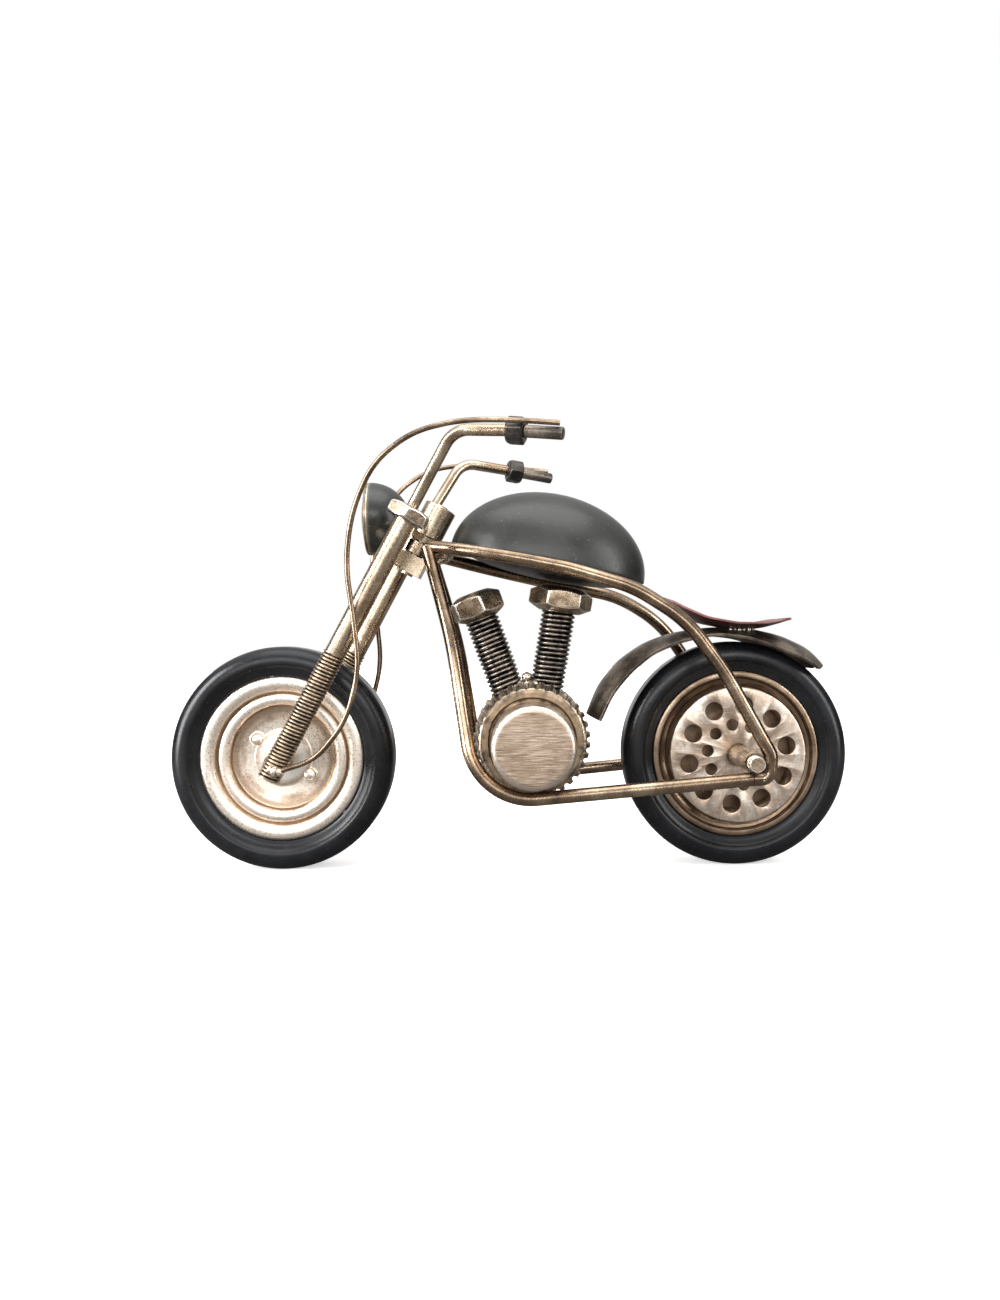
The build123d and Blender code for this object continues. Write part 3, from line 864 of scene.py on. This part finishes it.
class MESH_OT_motorcycle_front_hub(bpy.types.Operator):
    """Makes the front hub plates and their domed rivets"""
    bl_idname = "mesh.motorcycle_front_hub"
    bl_label = "Front hub"

    def execute(self, context):
        plate_edge = [
            (2.8, -1.45), (2.8, -1.95), (6.6, -1.95), (6.9, -1.88), (7.05, -1.7), (7.05, -1.4), (2.8, -1.45),
        ]
        plate = turned("front_hub_plate", plate_edge, FRONT_AXLE, sides=72)
        both = [plate, mirrored(plate, "front_hub_plate_right")]
        plates = join(both, "front_hub_plates_looks")
        finish(plates, "front_wheel", "pale_bronze_sheet", "disc", "front_hub_plates")

        dome = [(0, -2.7), (0.55, -2.64), (1.0, -2.44), (1.32, -2.1), (1.5, -1.65), (1.5, -1.4), (0, -1.4)]
        collar = [(1.55, -1.4), (1.55, -1.75), (1.75, -1.85), (1.95, -1.75), (2.0, -1.4), (1.55, -1.4)]
        heads = []
        for way in (-1, 1):
            turn = radians(35)
            spot = FRONT_AXLE + mm(way * 7.6 * cos(turn), 0, -way * 7.6 * sin(turn))
            for outline in (dome, collar):
                head = turned("front_rivet", outline, spot, sides=36)
                heads += [head, mirrored(head, "front_rivet_right")]
        rivets = join(heads, "front_rivets_looks")
        finish(rivets, "front_wheel", "pale_bronze_sheet", "weld", "front_rivets")
        repaint("nut", "front_hub", "rear_hub")
        return {"FINISHED"}


class MESH_OT_motorcycle_rear_disc(bpy.types.Operator):
    """Turns the rear disc and drills its two circles of holes"""
    bl_idname = "mesh.motorcycle_rear_disc"
    bl_label = "Rear disc"

    def execute(self, context):
        outline = [
            (2.8, -6.1), (2.8, -6.9), (15.75, -6.9), (15.95, -6.82), (16.0, -6.6), (16.0, -6.1), (2.8, -6.1),
        ]
        disc = turned("rear_disc_looks", outline, REAR_AXLE, sides=120)
        drills = []
        holes = sizes().holes
        for circle, hole_r, start in ((11.7, 2.2, -118), (7.2, 1.45, -136)):
            for hole in range(holes):
                angle = radians(start + 360 / holes * hole)
                spot = REAR_AXLE + mm(circle * cos(angle), -6.5, -circle * sin(angle))
                drills.append(primitive(
                    "cylinder", vertices=40, radius=hole_r * MM, depth=4 * MM, location=spot,
                    rotation=(pi / 2, 0, 0),
                ))
        boolean(disc, join(drills, "drills"))
        bevel(disc, 0.13 * MM, segments=2, angle=50)
        heal(disc)
        finish(disc, "rear_wheel", "pale_bronze_sheet", "disc", "rear_disc")
        return {"FINISHED"}


# ---- engine -------------------------------------------------------------
GEAR_FACE_R = 12.6
GEAR_BACK_R = 13.8
CAP_R = 9.45
CAP_EDGE = 1.4
CAP_FACE_Y = 26.0


class MESH_OT_motorcycle_toothed_rings(bpy.types.Operator):
    """Cuts rounded gullets round the two flared rings beside the drum"""
    bl_idname = "mesh.motorcycle_toothed_rings"
    bl_label = "Toothed rings"

    def execute(self, context):
        teeth = sizes().teeth
        ring = turned("case_gear", [
            (9.2, -7.0), (GEAR_BACK_R, -7.0), (GEAR_BACK_R, -8.4), (GEAR_FACE_R + 0.1, -11.95),
            (GEAR_FACE_R - 0.25, -12.4), (GEAR_FACE_R - 0.8, -12.6), (10.55, -12.6), (10.35, -12.45),
            (10.2, -11.6), (9.2, -11.6), (9.2, -7.0),
        ], DRUM, sides=teeth * 5)
        cutters = []
        for tooth in range(teeth):
            angle = 2 * pi / teeth * tooth
            outward = Vector((cos(angle), 0, sin(angle)))
            face = DRUM + outward * (GEAR_FACE_R + 0.2) * MM + mm(0, -13.6, 0)
            back = DRUM + outward * (GEAR_BACK_R + 0.2) * MM + mm(0, -6.0, 0)
            cutter = primitive("cylinder", vertices=14, radius=0.72 * MM, depth=(back - face).length)
            cutters.append(place(cutter, (face + back) / 2, back - face))
        boolean(ring, join(cutters, "gullets"))
        bevel(ring, 0.1 * MM, segments=1, angle=38)
        heal(ring)
        for piece, side in both_sides(ring, "case_gear"):
            finish(piece, "frame", "bronze_rod", "gear", "case_gear" + side, smooth=40)
        return {"FINISHED"}


class MESH_OT_motorcycle_case_caps(bpy.types.Operator):
    """Turns the two brushed caps of the drum with their rounded edges"""
    bl_idname = "mesh.motorcycle_case_caps"
    bl_label = "Case caps"

    def execute(self, context):
        edge_steps = 7
        steps = [(0, -CAP_FACE_Y), (3.0, -CAP_FACE_Y), (6.6, -CAP_FACE_Y), (7.6, -CAP_FACE_Y)]
        for step in range(edge_steps + 1):
            angle = pi / 2 * step / edge_steps
            radius = CAP_R - CAP_EDGE + CAP_EDGE * sin(angle)
            steps.append((radius, CAP_EDGE - CAP_FACE_Y - CAP_EDGE * cos(angle)))
        steps += [(CAP_R, -20.0), (CAP_R, -13.4), (CAP_R, -11.5), (0, -11.5)]
        cap = turned("case_cap", steps, DRUM, sides=128)
        for piece, side in both_sides(cap, "case_cap"):
            finish(piece, "frame", "brushed_bronze", "cap", "case_cap" + side, smooth=50)
        repaint("gear", "crankcase")
        return {"FINISHED"}


class MESH_OT_motorcycle_cylinder_bolts(bpy.types.Operator):
    """Makes the two large bolts of the V: helical thread and chamfered head"""
    bl_idname = "mesh.motorcycle_cylinder_bolts"
    bl_label = "Cylinder bolts"

    def execute(self, context):
        for name, (foot, top, corners, head_height, turn) in CYLINDER_BOLTS.items():
            foot, top = mm(*foot), mm(*top)
            along = (top - foot).normalized()
            depth = (top - foot).length - head_height / 2 * MM
            shank = thread(
                name + "_thread", 3.45 * MM, 4.15 * MM, sizes().cylinder_pitch, depth, sides=40,
            )
            finish(place(shank, foot, along), "frame", "dark_thread", "thread", smooth=45)
            head = hexagon(name + "_head", corners, head_height, 1.55, turn=turn)
            finish(place(head, top, along), "frame", "bronze_rod", "nut", name)
        return {"FINISHED"}


# ---- tank, mudguard and seat --------------------------------------------
class MESH_OT_motorcycle_tank(bpy.types.Operator):
    """Presses the tank's domed shell from a sphere cut in half"""
    bl_idname = "mesh.motorcycle_tank"
    bl_label = "Tank"

    def execute(self, context):
        slope = TANK_REAR - TANK_FRONT
        half_length = slope.length / 2
        tank = primitive("uv_sphere", "tank_shell_looks", segments=96, ring_count=64, radius=1.0)
        edit(tank)
        bpy.ops.mesh.bisect(plane_co=(0, 0, 0), plane_no=(0, 0, 1), clear_inner=True, threshold=1e-6)
        bpy.ops.mesh.select_all(action="SELECT")
        bpy.ops.transform.resize(
            value=(half_length, TANK_HALF_W * MM, TANK_HEIGHT * MM), center_override=(0, 0, 0),
        )
        close()
        heal(tank)
        modify(tank, "SOLIDIFY", thickness=sizes().tank_wall, offset=-1.0, use_even_offset=True)
        bevel(tank, 0.25 * MM, segments=2, angle=60)
        place(tank, (TANK_FRONT + TANK_REAR) / 2, Vector((-slope.z, 0, slope.x)))
        finish(tank, "frame", "black_enamel", "enamel", "tank_shell", smooth=50)
        repaint("steel", "tank_base")
        return {"FINISHED"}


def through(points, x):
    """Height at x of straight runs through (x, z) points."""
    for (x0, z0), (x1, z1) in zip(points, points[1:]):
        if x <= x1:
            break
    share = (x - x0) / (x1 - x0)
    return z0 + (z1 - z0) * share


SEAT_RIM = [(35.5, 65.9), (37.0, 65.0), (41.0, 62.6), (46.8, 59.9), (54.0, 58.5), (61.0, 58.3), (69.5, 59.6)]
SEAT_CENTRE_X = 52.5
SEAT_LENGTH = 33.0
SEAT_HALF_W = 10.0
SEAT_DISH = 1.25


class MESH_OT_motorcycle_seat(bpy.types.Operator):
    """Presses the seat: a thin dish with a raised rim and rounded ends"""
    bl_idname = "mesh.motorcycle_seat"
    bl_label = "Seat"

    def execute(self, context):
        seat = primitive("grid", "seat_looks", x_subdivisions=44, y_subdivisions=28, size=2.0)
        straight = SEAT_LENGTH / 2 - SEAT_HALF_W
        for vertex in seat.data.vertices:
            along, across = vertex.co.x, vertex.co.y
            round_x = along * (1 - across * across / 2) ** 0.5
            round_y = across * (1 - along * along / 2) ** 0.5
            x = SEAT_CENTRE_X + straight * along + SEAT_HALF_W * round_x
            outward = min(1.0, hypot(round_x, round_y))
            dish = SEAT_DISH * (1 - outward ** 3)
            vertex.co = mm(x, SEAT_HALF_W * round_y, through(SEAT_RIM, x) - dish)
        edit(seat)
        bpy.ops.mesh.vertices_smooth(factor=0.5, repeat=6, xaxis=False, yaxis=False)
        close()
        modify(seat, "SOLIDIFY", thickness=0.6 * MM, offset=-1.0)
        bevel(seat, 0.2 * MM, segments=2, angle=55)
        modify(seat, "SUBSURF", levels=1, render_levels=1)
        finish(seat, "frame", "red_brown_enamel", "seat", "seat", smooth=60)
        return {"FINISHED"}


# Crown of the mudguard and the hem of its sides, front to tail.
GUARD_CROWN = [
    (18.6, 35.4), (21.8, 43.4), (26.8, 49.3), (33.0, 53.5), (40.0, 56.0), (49.0, 57.2), (58.0, 57.0),
    (66.0, 55.2), (72.8, 52.0), (77.6, 46.9),
]
GUARD_HEM = [
    (21.4, 34.1), (24.9, 41.4), (29.4, 46.7), (34.4, 51.0), (40.8, 53.7), (49.0, 55.6), (57.2, 54.4),
    (64.2, 51.5), (70.2, 48.9), (75.6, 45.9),
]
GUARD_HALF_W = 8.5


class MESH_OT_motorcycle_mudguard(bpy.types.Operator):
    """Rolls the rear mudguard: a curved strip with cupped sides and a spoon tail"""
    bl_idname = "mesh.motorcycle_mudguard"
    bl_label = "Mudguard"

    def execute(self, context):
        guard = primitive("grid", "mudguard_looks", x_subdivisions=60, y_subdivisions=20, size=2.0)
        spans = len(GUARD_CROWN) - 1
        for vertex in guard.data.vertices:
            share = (vertex.co.x + 1) / 2
            across = vertex.co.y
            # The tail's end is round: its last rows are narrower.
            tail = max(0.0, (share - 0.86) / 0.14)
            width = max(0.15, 1 - tail ** 2.4) ** 0.5
            run = min(share * spans, spans - 1e-6)
            span = int(run)
            part = run - span
            crown = Vector(GUARD_CROWN[span]).lerp(Vector(GUARD_CROWN[span + 1]), part)
            hem = Vector(GUARD_HEM[span]).lerp(Vector(GUARD_HEM[span + 1]), part)
            spot = crown.lerp(hem, abs(across) ** 2.2)
            vertex.co = mm(spot.x, across * width * GUARD_HALF_W, spot.y)
        edit(guard)
        bpy.ops.mesh.vertices_smooth(factor=0.5, repeat=8, yaxis=False)
        close()
        modify(guard, "SOLIDIFY", thickness=sizes().panel_wall, offset=-1.0)
        bevel(guard, 0.2 * MM, segments=2, angle=55)
        modify(guard, "SUBSURF", levels=1, render_levels=1)
        finish(guard, "frame", "pewter_sheet", "pewter", "mudguard", smooth=60)
        return {"FINISHED"}


# ---- frame and its welds ------------------------------------------------
class MESH_OT_motorcycle_frame_rods(bpy.types.Operator):
    """Finishes the bent rods of the frame, the axle and its sleeves"""
    bl_idname = "mesh.motorcycle_frame_rods"
    bl_label = "Frame rods"

    def execute(self, context):
        for side in ("_left", "_right"):
            repaint("rod", "top_rail" + side, "cradle_rail" + side)
            repaint("nut", "axle_sleeve" + side)
        repaint("rod", "engine_mount_bar")
        repaint("nut", "head_tube")
        rings = []
        for ring in range(5):
            near = 25.5 - 0.62 * ring
            rings += [(1.62, -near - 0.1), (1.75, -near + 0.08), (1.75, -near + 0.36), (1.62, -near + 0.5)]
        left = [(0, -25.6), (1.45, -25.6)] + rings
        right = [(radius, -along) for radius, along in reversed(left)]
        axle = turned("rear_axle_looks", left + right, REAR_AXLE, sides=48)
        finish(axle, "frame", "bronze_rod", "nut", "rear_axle")
        return {"FINISHED"}


class MESH_OT_motorcycle_welds(bpy.types.Operator):
    """Builds up the lumpy welds that hold the model together"""
    bl_idname = "mesh.motorcycle_welds"
    bl_label = "Welds"

    def execute(self, context):
        saddle = [
            (mm(4.9, -3.4, 43.6), 1.5), (mm(3.3, -3.0, 43.7), 1.15), (mm(6.4, -2.8, 43.9), 1.2),
            (mm(4.7, -2.0, 45.6), 1.3), (mm(5.2, -0.6, 44.2), 1.8), (mm(4.6, 2.4, 43.8), 1.5),
        ]
        piece = weld("weld_saddle_looks", saddle, seed=3)
        finish(piece, "frame", "weld", "weld", "weld_saddle", smooth=180)

        gusset = []
        for x, y, z, radius in (
            (-17.8, 2.4, 75.4, 1.5), (-16.4, 3.4, 76.1, 1.6), (-15.0, 3.6, 75.7, 1.4),
            (-14.2, 2.0, 75.6, 1.5), (-16.8, 1.0, 74.9, 1.9), (-15.2, 0.8, 75.3, 1.9),
            (-18.3, 3.6, 74.4, 1.0),
        ):
            gusset += [(mm(x, y, z), radius), (mm(x, -y, z), radius)]
        piece = weld("head_gusset_looks", gusset, seed=5)
        finish(piece, "frame", "weld", "weld", "head_gusset", smooth=180)

        for way, side in ((-1, "left"), (1, "right")):
            foot = [
                (mm(-52.6, way * 18.5, 25.6), 1.35), (mm(-51.6, way * 18.9, 25.5), 1.0),
                (mm(-53.6, way * 18.2, 26.0), 1.0),
            ]
            piece = weld("foot_weld_" + side, foot, grain=0.16, rough=0.07, seed=7)
            replaced = ["foot_welds"] if way < 0 else []
            finish(piece, "fork", "weld", "weld", *replaced, smooth=180)

            hairpin = [
                (mm(56.4, way * 22.4, 23.3), 1.2), (mm(57.4, way * 22.2, 24.6), 1.1),
                (mm(55.0, way * 22.0, 24.0), 1.0),
            ]
            piece = weld("axle_weld_" + side, hairpin, grain=0.16, rough=0.08, seed=9)
            finish(piece, "frame", "weld", "weld", smooth=180)

            guard = [
                (mm(53.5 + 1.1 * bead, way * (4.6 - 0.4 * (bead % 2)), 56.45), 0.45) for bead in range(6)
            ]
            piece = weld("seat_weld_" + side, guard, grain=0.14, rough=0.08, seed=11)
            finish(piece, "frame", "weld", "weld", smooth=180)
        return {"FINISHED"}


# ---- fork, bars and headlight -------------------------------------------
class MESH_OT_motorcycle_fork(bpy.types.Operator):
    """Threads the fork ends and adds the nuts, collar and yokes"""
    bl_idname = "mesh.motorcycle_fork"
    bl_label = "Fork"

    def execute(self, context):
        screw = thread(
            "fork_screw", 2.28 * MM, 2.65 * MM, sizes().fork_pitch, FORK_SCREW_LENGTH * MM, sides=30,
        )
        place(screw, on_fork(FORK_LENGTH), UP)
        for piece, side in both_sides(screw, "fork_screw"):
            finish(piece, "fork", "dark_thread", "fork_thread", "fork_screw" + side, smooth=45)
        nut = hexagon("fork_nut", 10.6, 3.4, 0.7, bore=2.4)
        place(nut, on_fork(0), UP)
        for piece, side in both_sides(nut, "fork_nut"):
            finish(piece, "fork", "bronze_rod", "nut", "fork_nut" + side)
        collar = turned("steering_collar_looks", [
            (1.62, -4.0), (3.7, -4.0), (3.95, -3.75), (3.95, 3.75), (3.7, 4.0), (1.62, 4.0), (1.62, -4.0),
        ], sides=64)
        place(collar, HEAD, UP)
        finish(collar, "fork", "bronze_rod", "bar", "steering_collar")
        repaint("bar", "fork_tube_left", "fork_tube_right", "steering_stem", "front_axle")
        repaint("bar", "upper_yoke", "lower_yoke")
        for name in ("upper_yoke", "lower_yoke"):
            rounding = frame["nodes"][name].modifiers.new("Rounding", "BEVEL")
            rounding.width, rounding.segments = YOKE_ROUNDING, 3
            rounding.limit_method, rounding.angle_limit = "ANGLE", radians(50)
            rounding.use_clamp_overlap = True
        repaint("nut", "axle_spacer_left", "axle_spacer_right")
        return {"FINISHED"}


class MESH_OT_motorcycle_handlebars(bpy.types.Operator):
    """Finishes the bars and wires, and makes their nuts and grips"""
    bl_idname = "mesh.motorcycle_handlebars"
    bl_label = "Handlebars"

    def execute(self, context):
        way = (GRIP_END - BAR_NUT).normalized()
        nut = hexagon("bar_nut", 6.5, 4.0, 0.5, bore=1.36)
        place(nut, BAR_NUT + way * 2.0 * MM, way)
        reach = (GRIP_END - BAR_NUT).length / MM - 4.0
        grip = turned("grip", [
            (0, 0), (1.2, 0), (1.4, 0.2), (1.4, reach - 0.35), (1.3, reach - 0.1), (1.1, reach), (0, reach),
        ], sides=40)
        place(grip, BAR_NUT + way * 4.0 * MM, way)
        for left, name in ((nut, "bar_nut"), (grip, "grip")):
            for piece, side in both_sides(left, name):
                finish(piece, "fork", "black_steel", "steel", name + side)
        for side in ("_left", "_right"):
            repaint("bar", "handlebar" + side)
            repaint("rod", "brake_wire" + side)
        return {"FINISHED"}


LAMP_R = 8.8
LAMP_DEPTH = 9.4
LENS_R = 7.4
LENS_BULGE = 2.2


class MESH_OT_motorcycle_headlight(bpy.types.Operator):
    """Turns the headlight's bowl, rim and lens"""
    bl_idname = "mesh.motorcycle_headlight"
    bl_label = "Headlight"

    def execute(self, context):
        steps, wall = 14, 0.8
        quarter = [pi / 2 * step / steps for step in range(steps + 1)]
        outside = [(LAMP_R * cos(angle), LAMP_DEPTH * sin(angle)) for angle in quarter]
        inside = [((LAMP_R - wall) * cos(angle), (LAMP_DEPTH - wall) * sin(angle)) for angle in quarter]
        back = Vector((1, 0, 0))
        bowl = turned("headlight_shell_looks", outside + inside[::-1] + [outside[0]], sides=80)
        place(bowl, LAMP, back)
        finish(bowl, "fork", "black_enamel", "enamel", "headlight_shell", smooth=50)
        rim = turned("headlight_rim_looks", [
            (LENS_R, 0), (LENS_R, -0.75), (7.55, -0.9), (8.5, -0.9), (8.75, -0.7), (LAMP_R, -0.4),
            (LAMP_R, 0), (LENS_R, 0),
        ], sides=80)
        place(rim, LAMP, back)
        finish(rim, "fork", "black_steel", "fork_thread", "headlight_rim")
        bulge = [(LENS_R * cos(angle), -LENS_BULGE * sin(angle)) for angle in quarter]
        lens = turned("headlight_lens_looks", bulge + [(0, 0), (LENS_R, 0)], sides=80)
        place(lens, LAMP, back)
        finish(lens, "fork", "black_steel", "lens", "headlight_lens", smooth=50)
        repaint("steel", "headlight_stud")
        return {"FINISHED"}


# ---- stage --------------------------------------------------------------
# Each soft light: place, width and height in metres, and watts.
LIGHT_TARGET = (0, 0, 0.05)
LIGHTS = (
    ("left softbox", (-0.42, -0.20, 0.14), (0.18, 0.40), 4.6),
    ("right softbox", (0.42, -0.24, 0.14), (0.12, 0.40), 1.4),
    ("top softbox", (0.0, -0.10, 0.45), (0.5, 0.34), 1.6),
    ("front fill", (-0.05, -0.6, 0.22), (0.6, 0.12), 1.5),
)
CAMERA_AT = (0, -0.240, 0.0553)
CAMERA_LENS = 27.25
CAMERA_ROLL = radians(0.65)
CAMERA_SHIFT = (-7 / 1300, -13 / 1300)      # in picture heights


def area_light(name, where, target, size, power):
    light = bpy.data.lights.new(name, "AREA")
    light.shape = "RECTANGLE"
    light.size, light.size_y = size
    light.energy = power
    lamp = bpy.data.objects.new(name, light)
    bpy.context.scene.collection.objects.link(lamp)
    lamp.location = where
    lamp.rotation_euler = (Vector(target) - Vector(where)).to_track_quat("-Z", "Y").to_euler()


class OBJECT_OT_motorcycle_stage(bpy.types.Operator):
    """Sets the pale floor, the soft studio lights and the camera"""
    bl_idname = "object.motorcycle_stage"
    bl_label = "Stage"

    def execute(self, context):
        self.add_floor()
        self.add_world(context)
        self.add_lights()
        self.add_camera(context)
        return {"FINISHED"}

    def add_floor(self):
        """A flat pale floor with a painted glow that only the camera sees, brighter away from the model, and
        dark grey to reflections and bounced light as painted shade.
        """
        floor = primitive("plane", "floor", size=3.0, location=(0, 0, 0))
        bpy.ops.object.transform_apply(location=True, rotation=True, scale=True)
        material, tree, shader = new_material("Floor with painted glow")
        cloud = noise(tree, 6.0, 2.0)
        path = tree.nodes.new("ShaderNodeLightPath")
        seen = path.outputs["Is Camera Ray"]
        pale = mixed(tree, cloud, (0.86, 0.86, 0.86), (0.9, 0.9, 0.9))
        # Rays other than the camera's see the floor dark grey: painted shade in reflections and bounced
        # light.
        feed(tree, shader["Base Color"], mixed(tree, seen, (0.16, 0.155, 0.15), pale))
        shader["Roughness"].default_value = 0.9
        shader["Specular IOR Level"].default_value = 0.1
        shader["Emission Color"].default_value = (1, 1, 1, 1)
        place_on_floor = tree.nodes.new("ShaderNodeTexCoord")
        reach = tree.nodes.new("ShaderNodeVectorMath")
        reach.operation = "LENGTH"
        tree.links.new(place_on_floor.outputs["Object"], reach.inputs[0])
        # Only the camera sees the floor glow, less near the model and more away from it: a painted glow.
        glow = between(tree, reach.outputs["Value"], 0.12, 0.4, 0.5, 1.1)
        feed(tree, shader["Emission Strength"], maths(tree, "MULTIPLY", seen, glow))
        floor.data.materials.append(material)

    def add_world(self, context):
        """White where the camera sees it, and softly graded for reflections."""
        world = bpy.data.worlds.new("Studio")
        world.use_nodes = True
        context.scene.world = world
        context.scene.view_settings.view_transform = "Standard"
        tree = world.node_tree
        ground = tree.nodes["Background"]
        direction = tree.nodes.new("ShaderNodeTexCoord")
        split = tree.nodes.new("ShaderNodeSeparateXYZ")
        tree.links.new(direction.outputs["Generated"], split.inputs["Vector"])
        facing = between(tree, maths(tree, "ABSOLUTE", split.outputs["Y"]), 0.45, 0.98, 0.0, 1.0)
        overhead = between(tree, split.outputs["Z"], 0.3, 0.8)
        lit = maths(tree, "MAXIMUM", facing, overhead)
        shade = mixed(tree, lit, (0.012, 0.012, 0.013), (1.05, 1.04, 1.02))
        path = tree.nodes.new("ShaderNodeLightPath")
        feed(tree, ground.inputs["Color"], mixed(tree, path.outputs["Is Camera Ray"], shade, (1, 1, 1)))
        ground.inputs["Strength"].default_value = 1.0

    def add_lights(self):
        for name, where, size, power in LIGHTS:
            area_light(name, where, LIGHT_TARGET, size, power)

    def add_camera(self, context):
        """Looks straight at the left side, a little below the seat."""
        data = bpy.data.cameras.new("camera")
        data.lens = CAMERA_LENS
        data.sensor_width = 36.0
        data.shift_x, data.shift_y = CAMERA_SHIFT
        data.clip_start, data.clip_end = 0.01, 10.0
        camera = bpy.data.objects.new("camera", data)
        context.scene.collection.objects.link(camera)
        camera.location = CAMERA_AT
        camera.rotation_euler = (pi / 2, CAMERA_ROLL, 0)
        context.scene.camera = camera


# ---- panel and registration ---------------------------------------------
OPERATORS = (
    MESH_OT_motorcycle_tyres, MESH_OT_motorcycle_rims, MESH_OT_motorcycle_front_hub,
    MESH_OT_motorcycle_rear_disc, MESH_OT_motorcycle_toothed_rings, MESH_OT_motorcycle_case_caps,
    MESH_OT_motorcycle_cylinder_bolts, MESH_OT_motorcycle_tank, MESH_OT_motorcycle_seat,
    MESH_OT_motorcycle_mudguard, MESH_OT_motorcycle_frame_rods, MESH_OT_motorcycle_welds,
    MESH_OT_motorcycle_fork, MESH_OT_motorcycle_handlebars, MESH_OT_motorcycle_headlight,
    OBJECT_OT_motorcycle_stage,
)


class VIEW3D_PT_motorcycle(bpy.types.Panel):
    """Lists the sizes, the colours and one button for each group of pieces"""
    bl_label = "Motorcycle"
    bl_idname = "VIEW3D_PT_motorcycle"
    bl_space_type = "VIEW_3D"
    bl_region_type = "UI"
    bl_category = "Motorcycle"

    def draw(self, context):
        column = self.layout.column()
        for group in (context.scene.motorcycle_sizes, context.scene.motorcycle_colours):
            for label in group.__annotations__:
                column.prop(group, label)
        for operator in OPERATORS:
            column.operator(operator.bl_idname)


CLASSES = (MotorcycleSizes, MotorcycleColours, *OPERATORS, VIEW3D_PT_motorcycle)


def register():
    for kind in CLASSES:
        bpy.utils.register_class(kind)
    bpy.types.Scene.motorcycle_sizes = bpy.props.PointerProperty(type=MotorcycleSizes)
    bpy.types.Scene.motorcycle_colours = bpy.props.PointerProperty(type=MotorcycleColours)


def unregister():
    del bpy.types.Scene.motorcycle_colours
    del bpy.types.Scene.motorcycle_sizes
    for kind in reversed(CLASSES):
        bpy.utils.unregister_class(kind)


def main():
    register()
    for operator in OPERATORS:
        family, name = operator.bl_idname.split(".")
        getattr(getattr(bpy.ops, family), name)()
    bpy.context.view_layer.update()


if __name__ == "__main__":
    main()
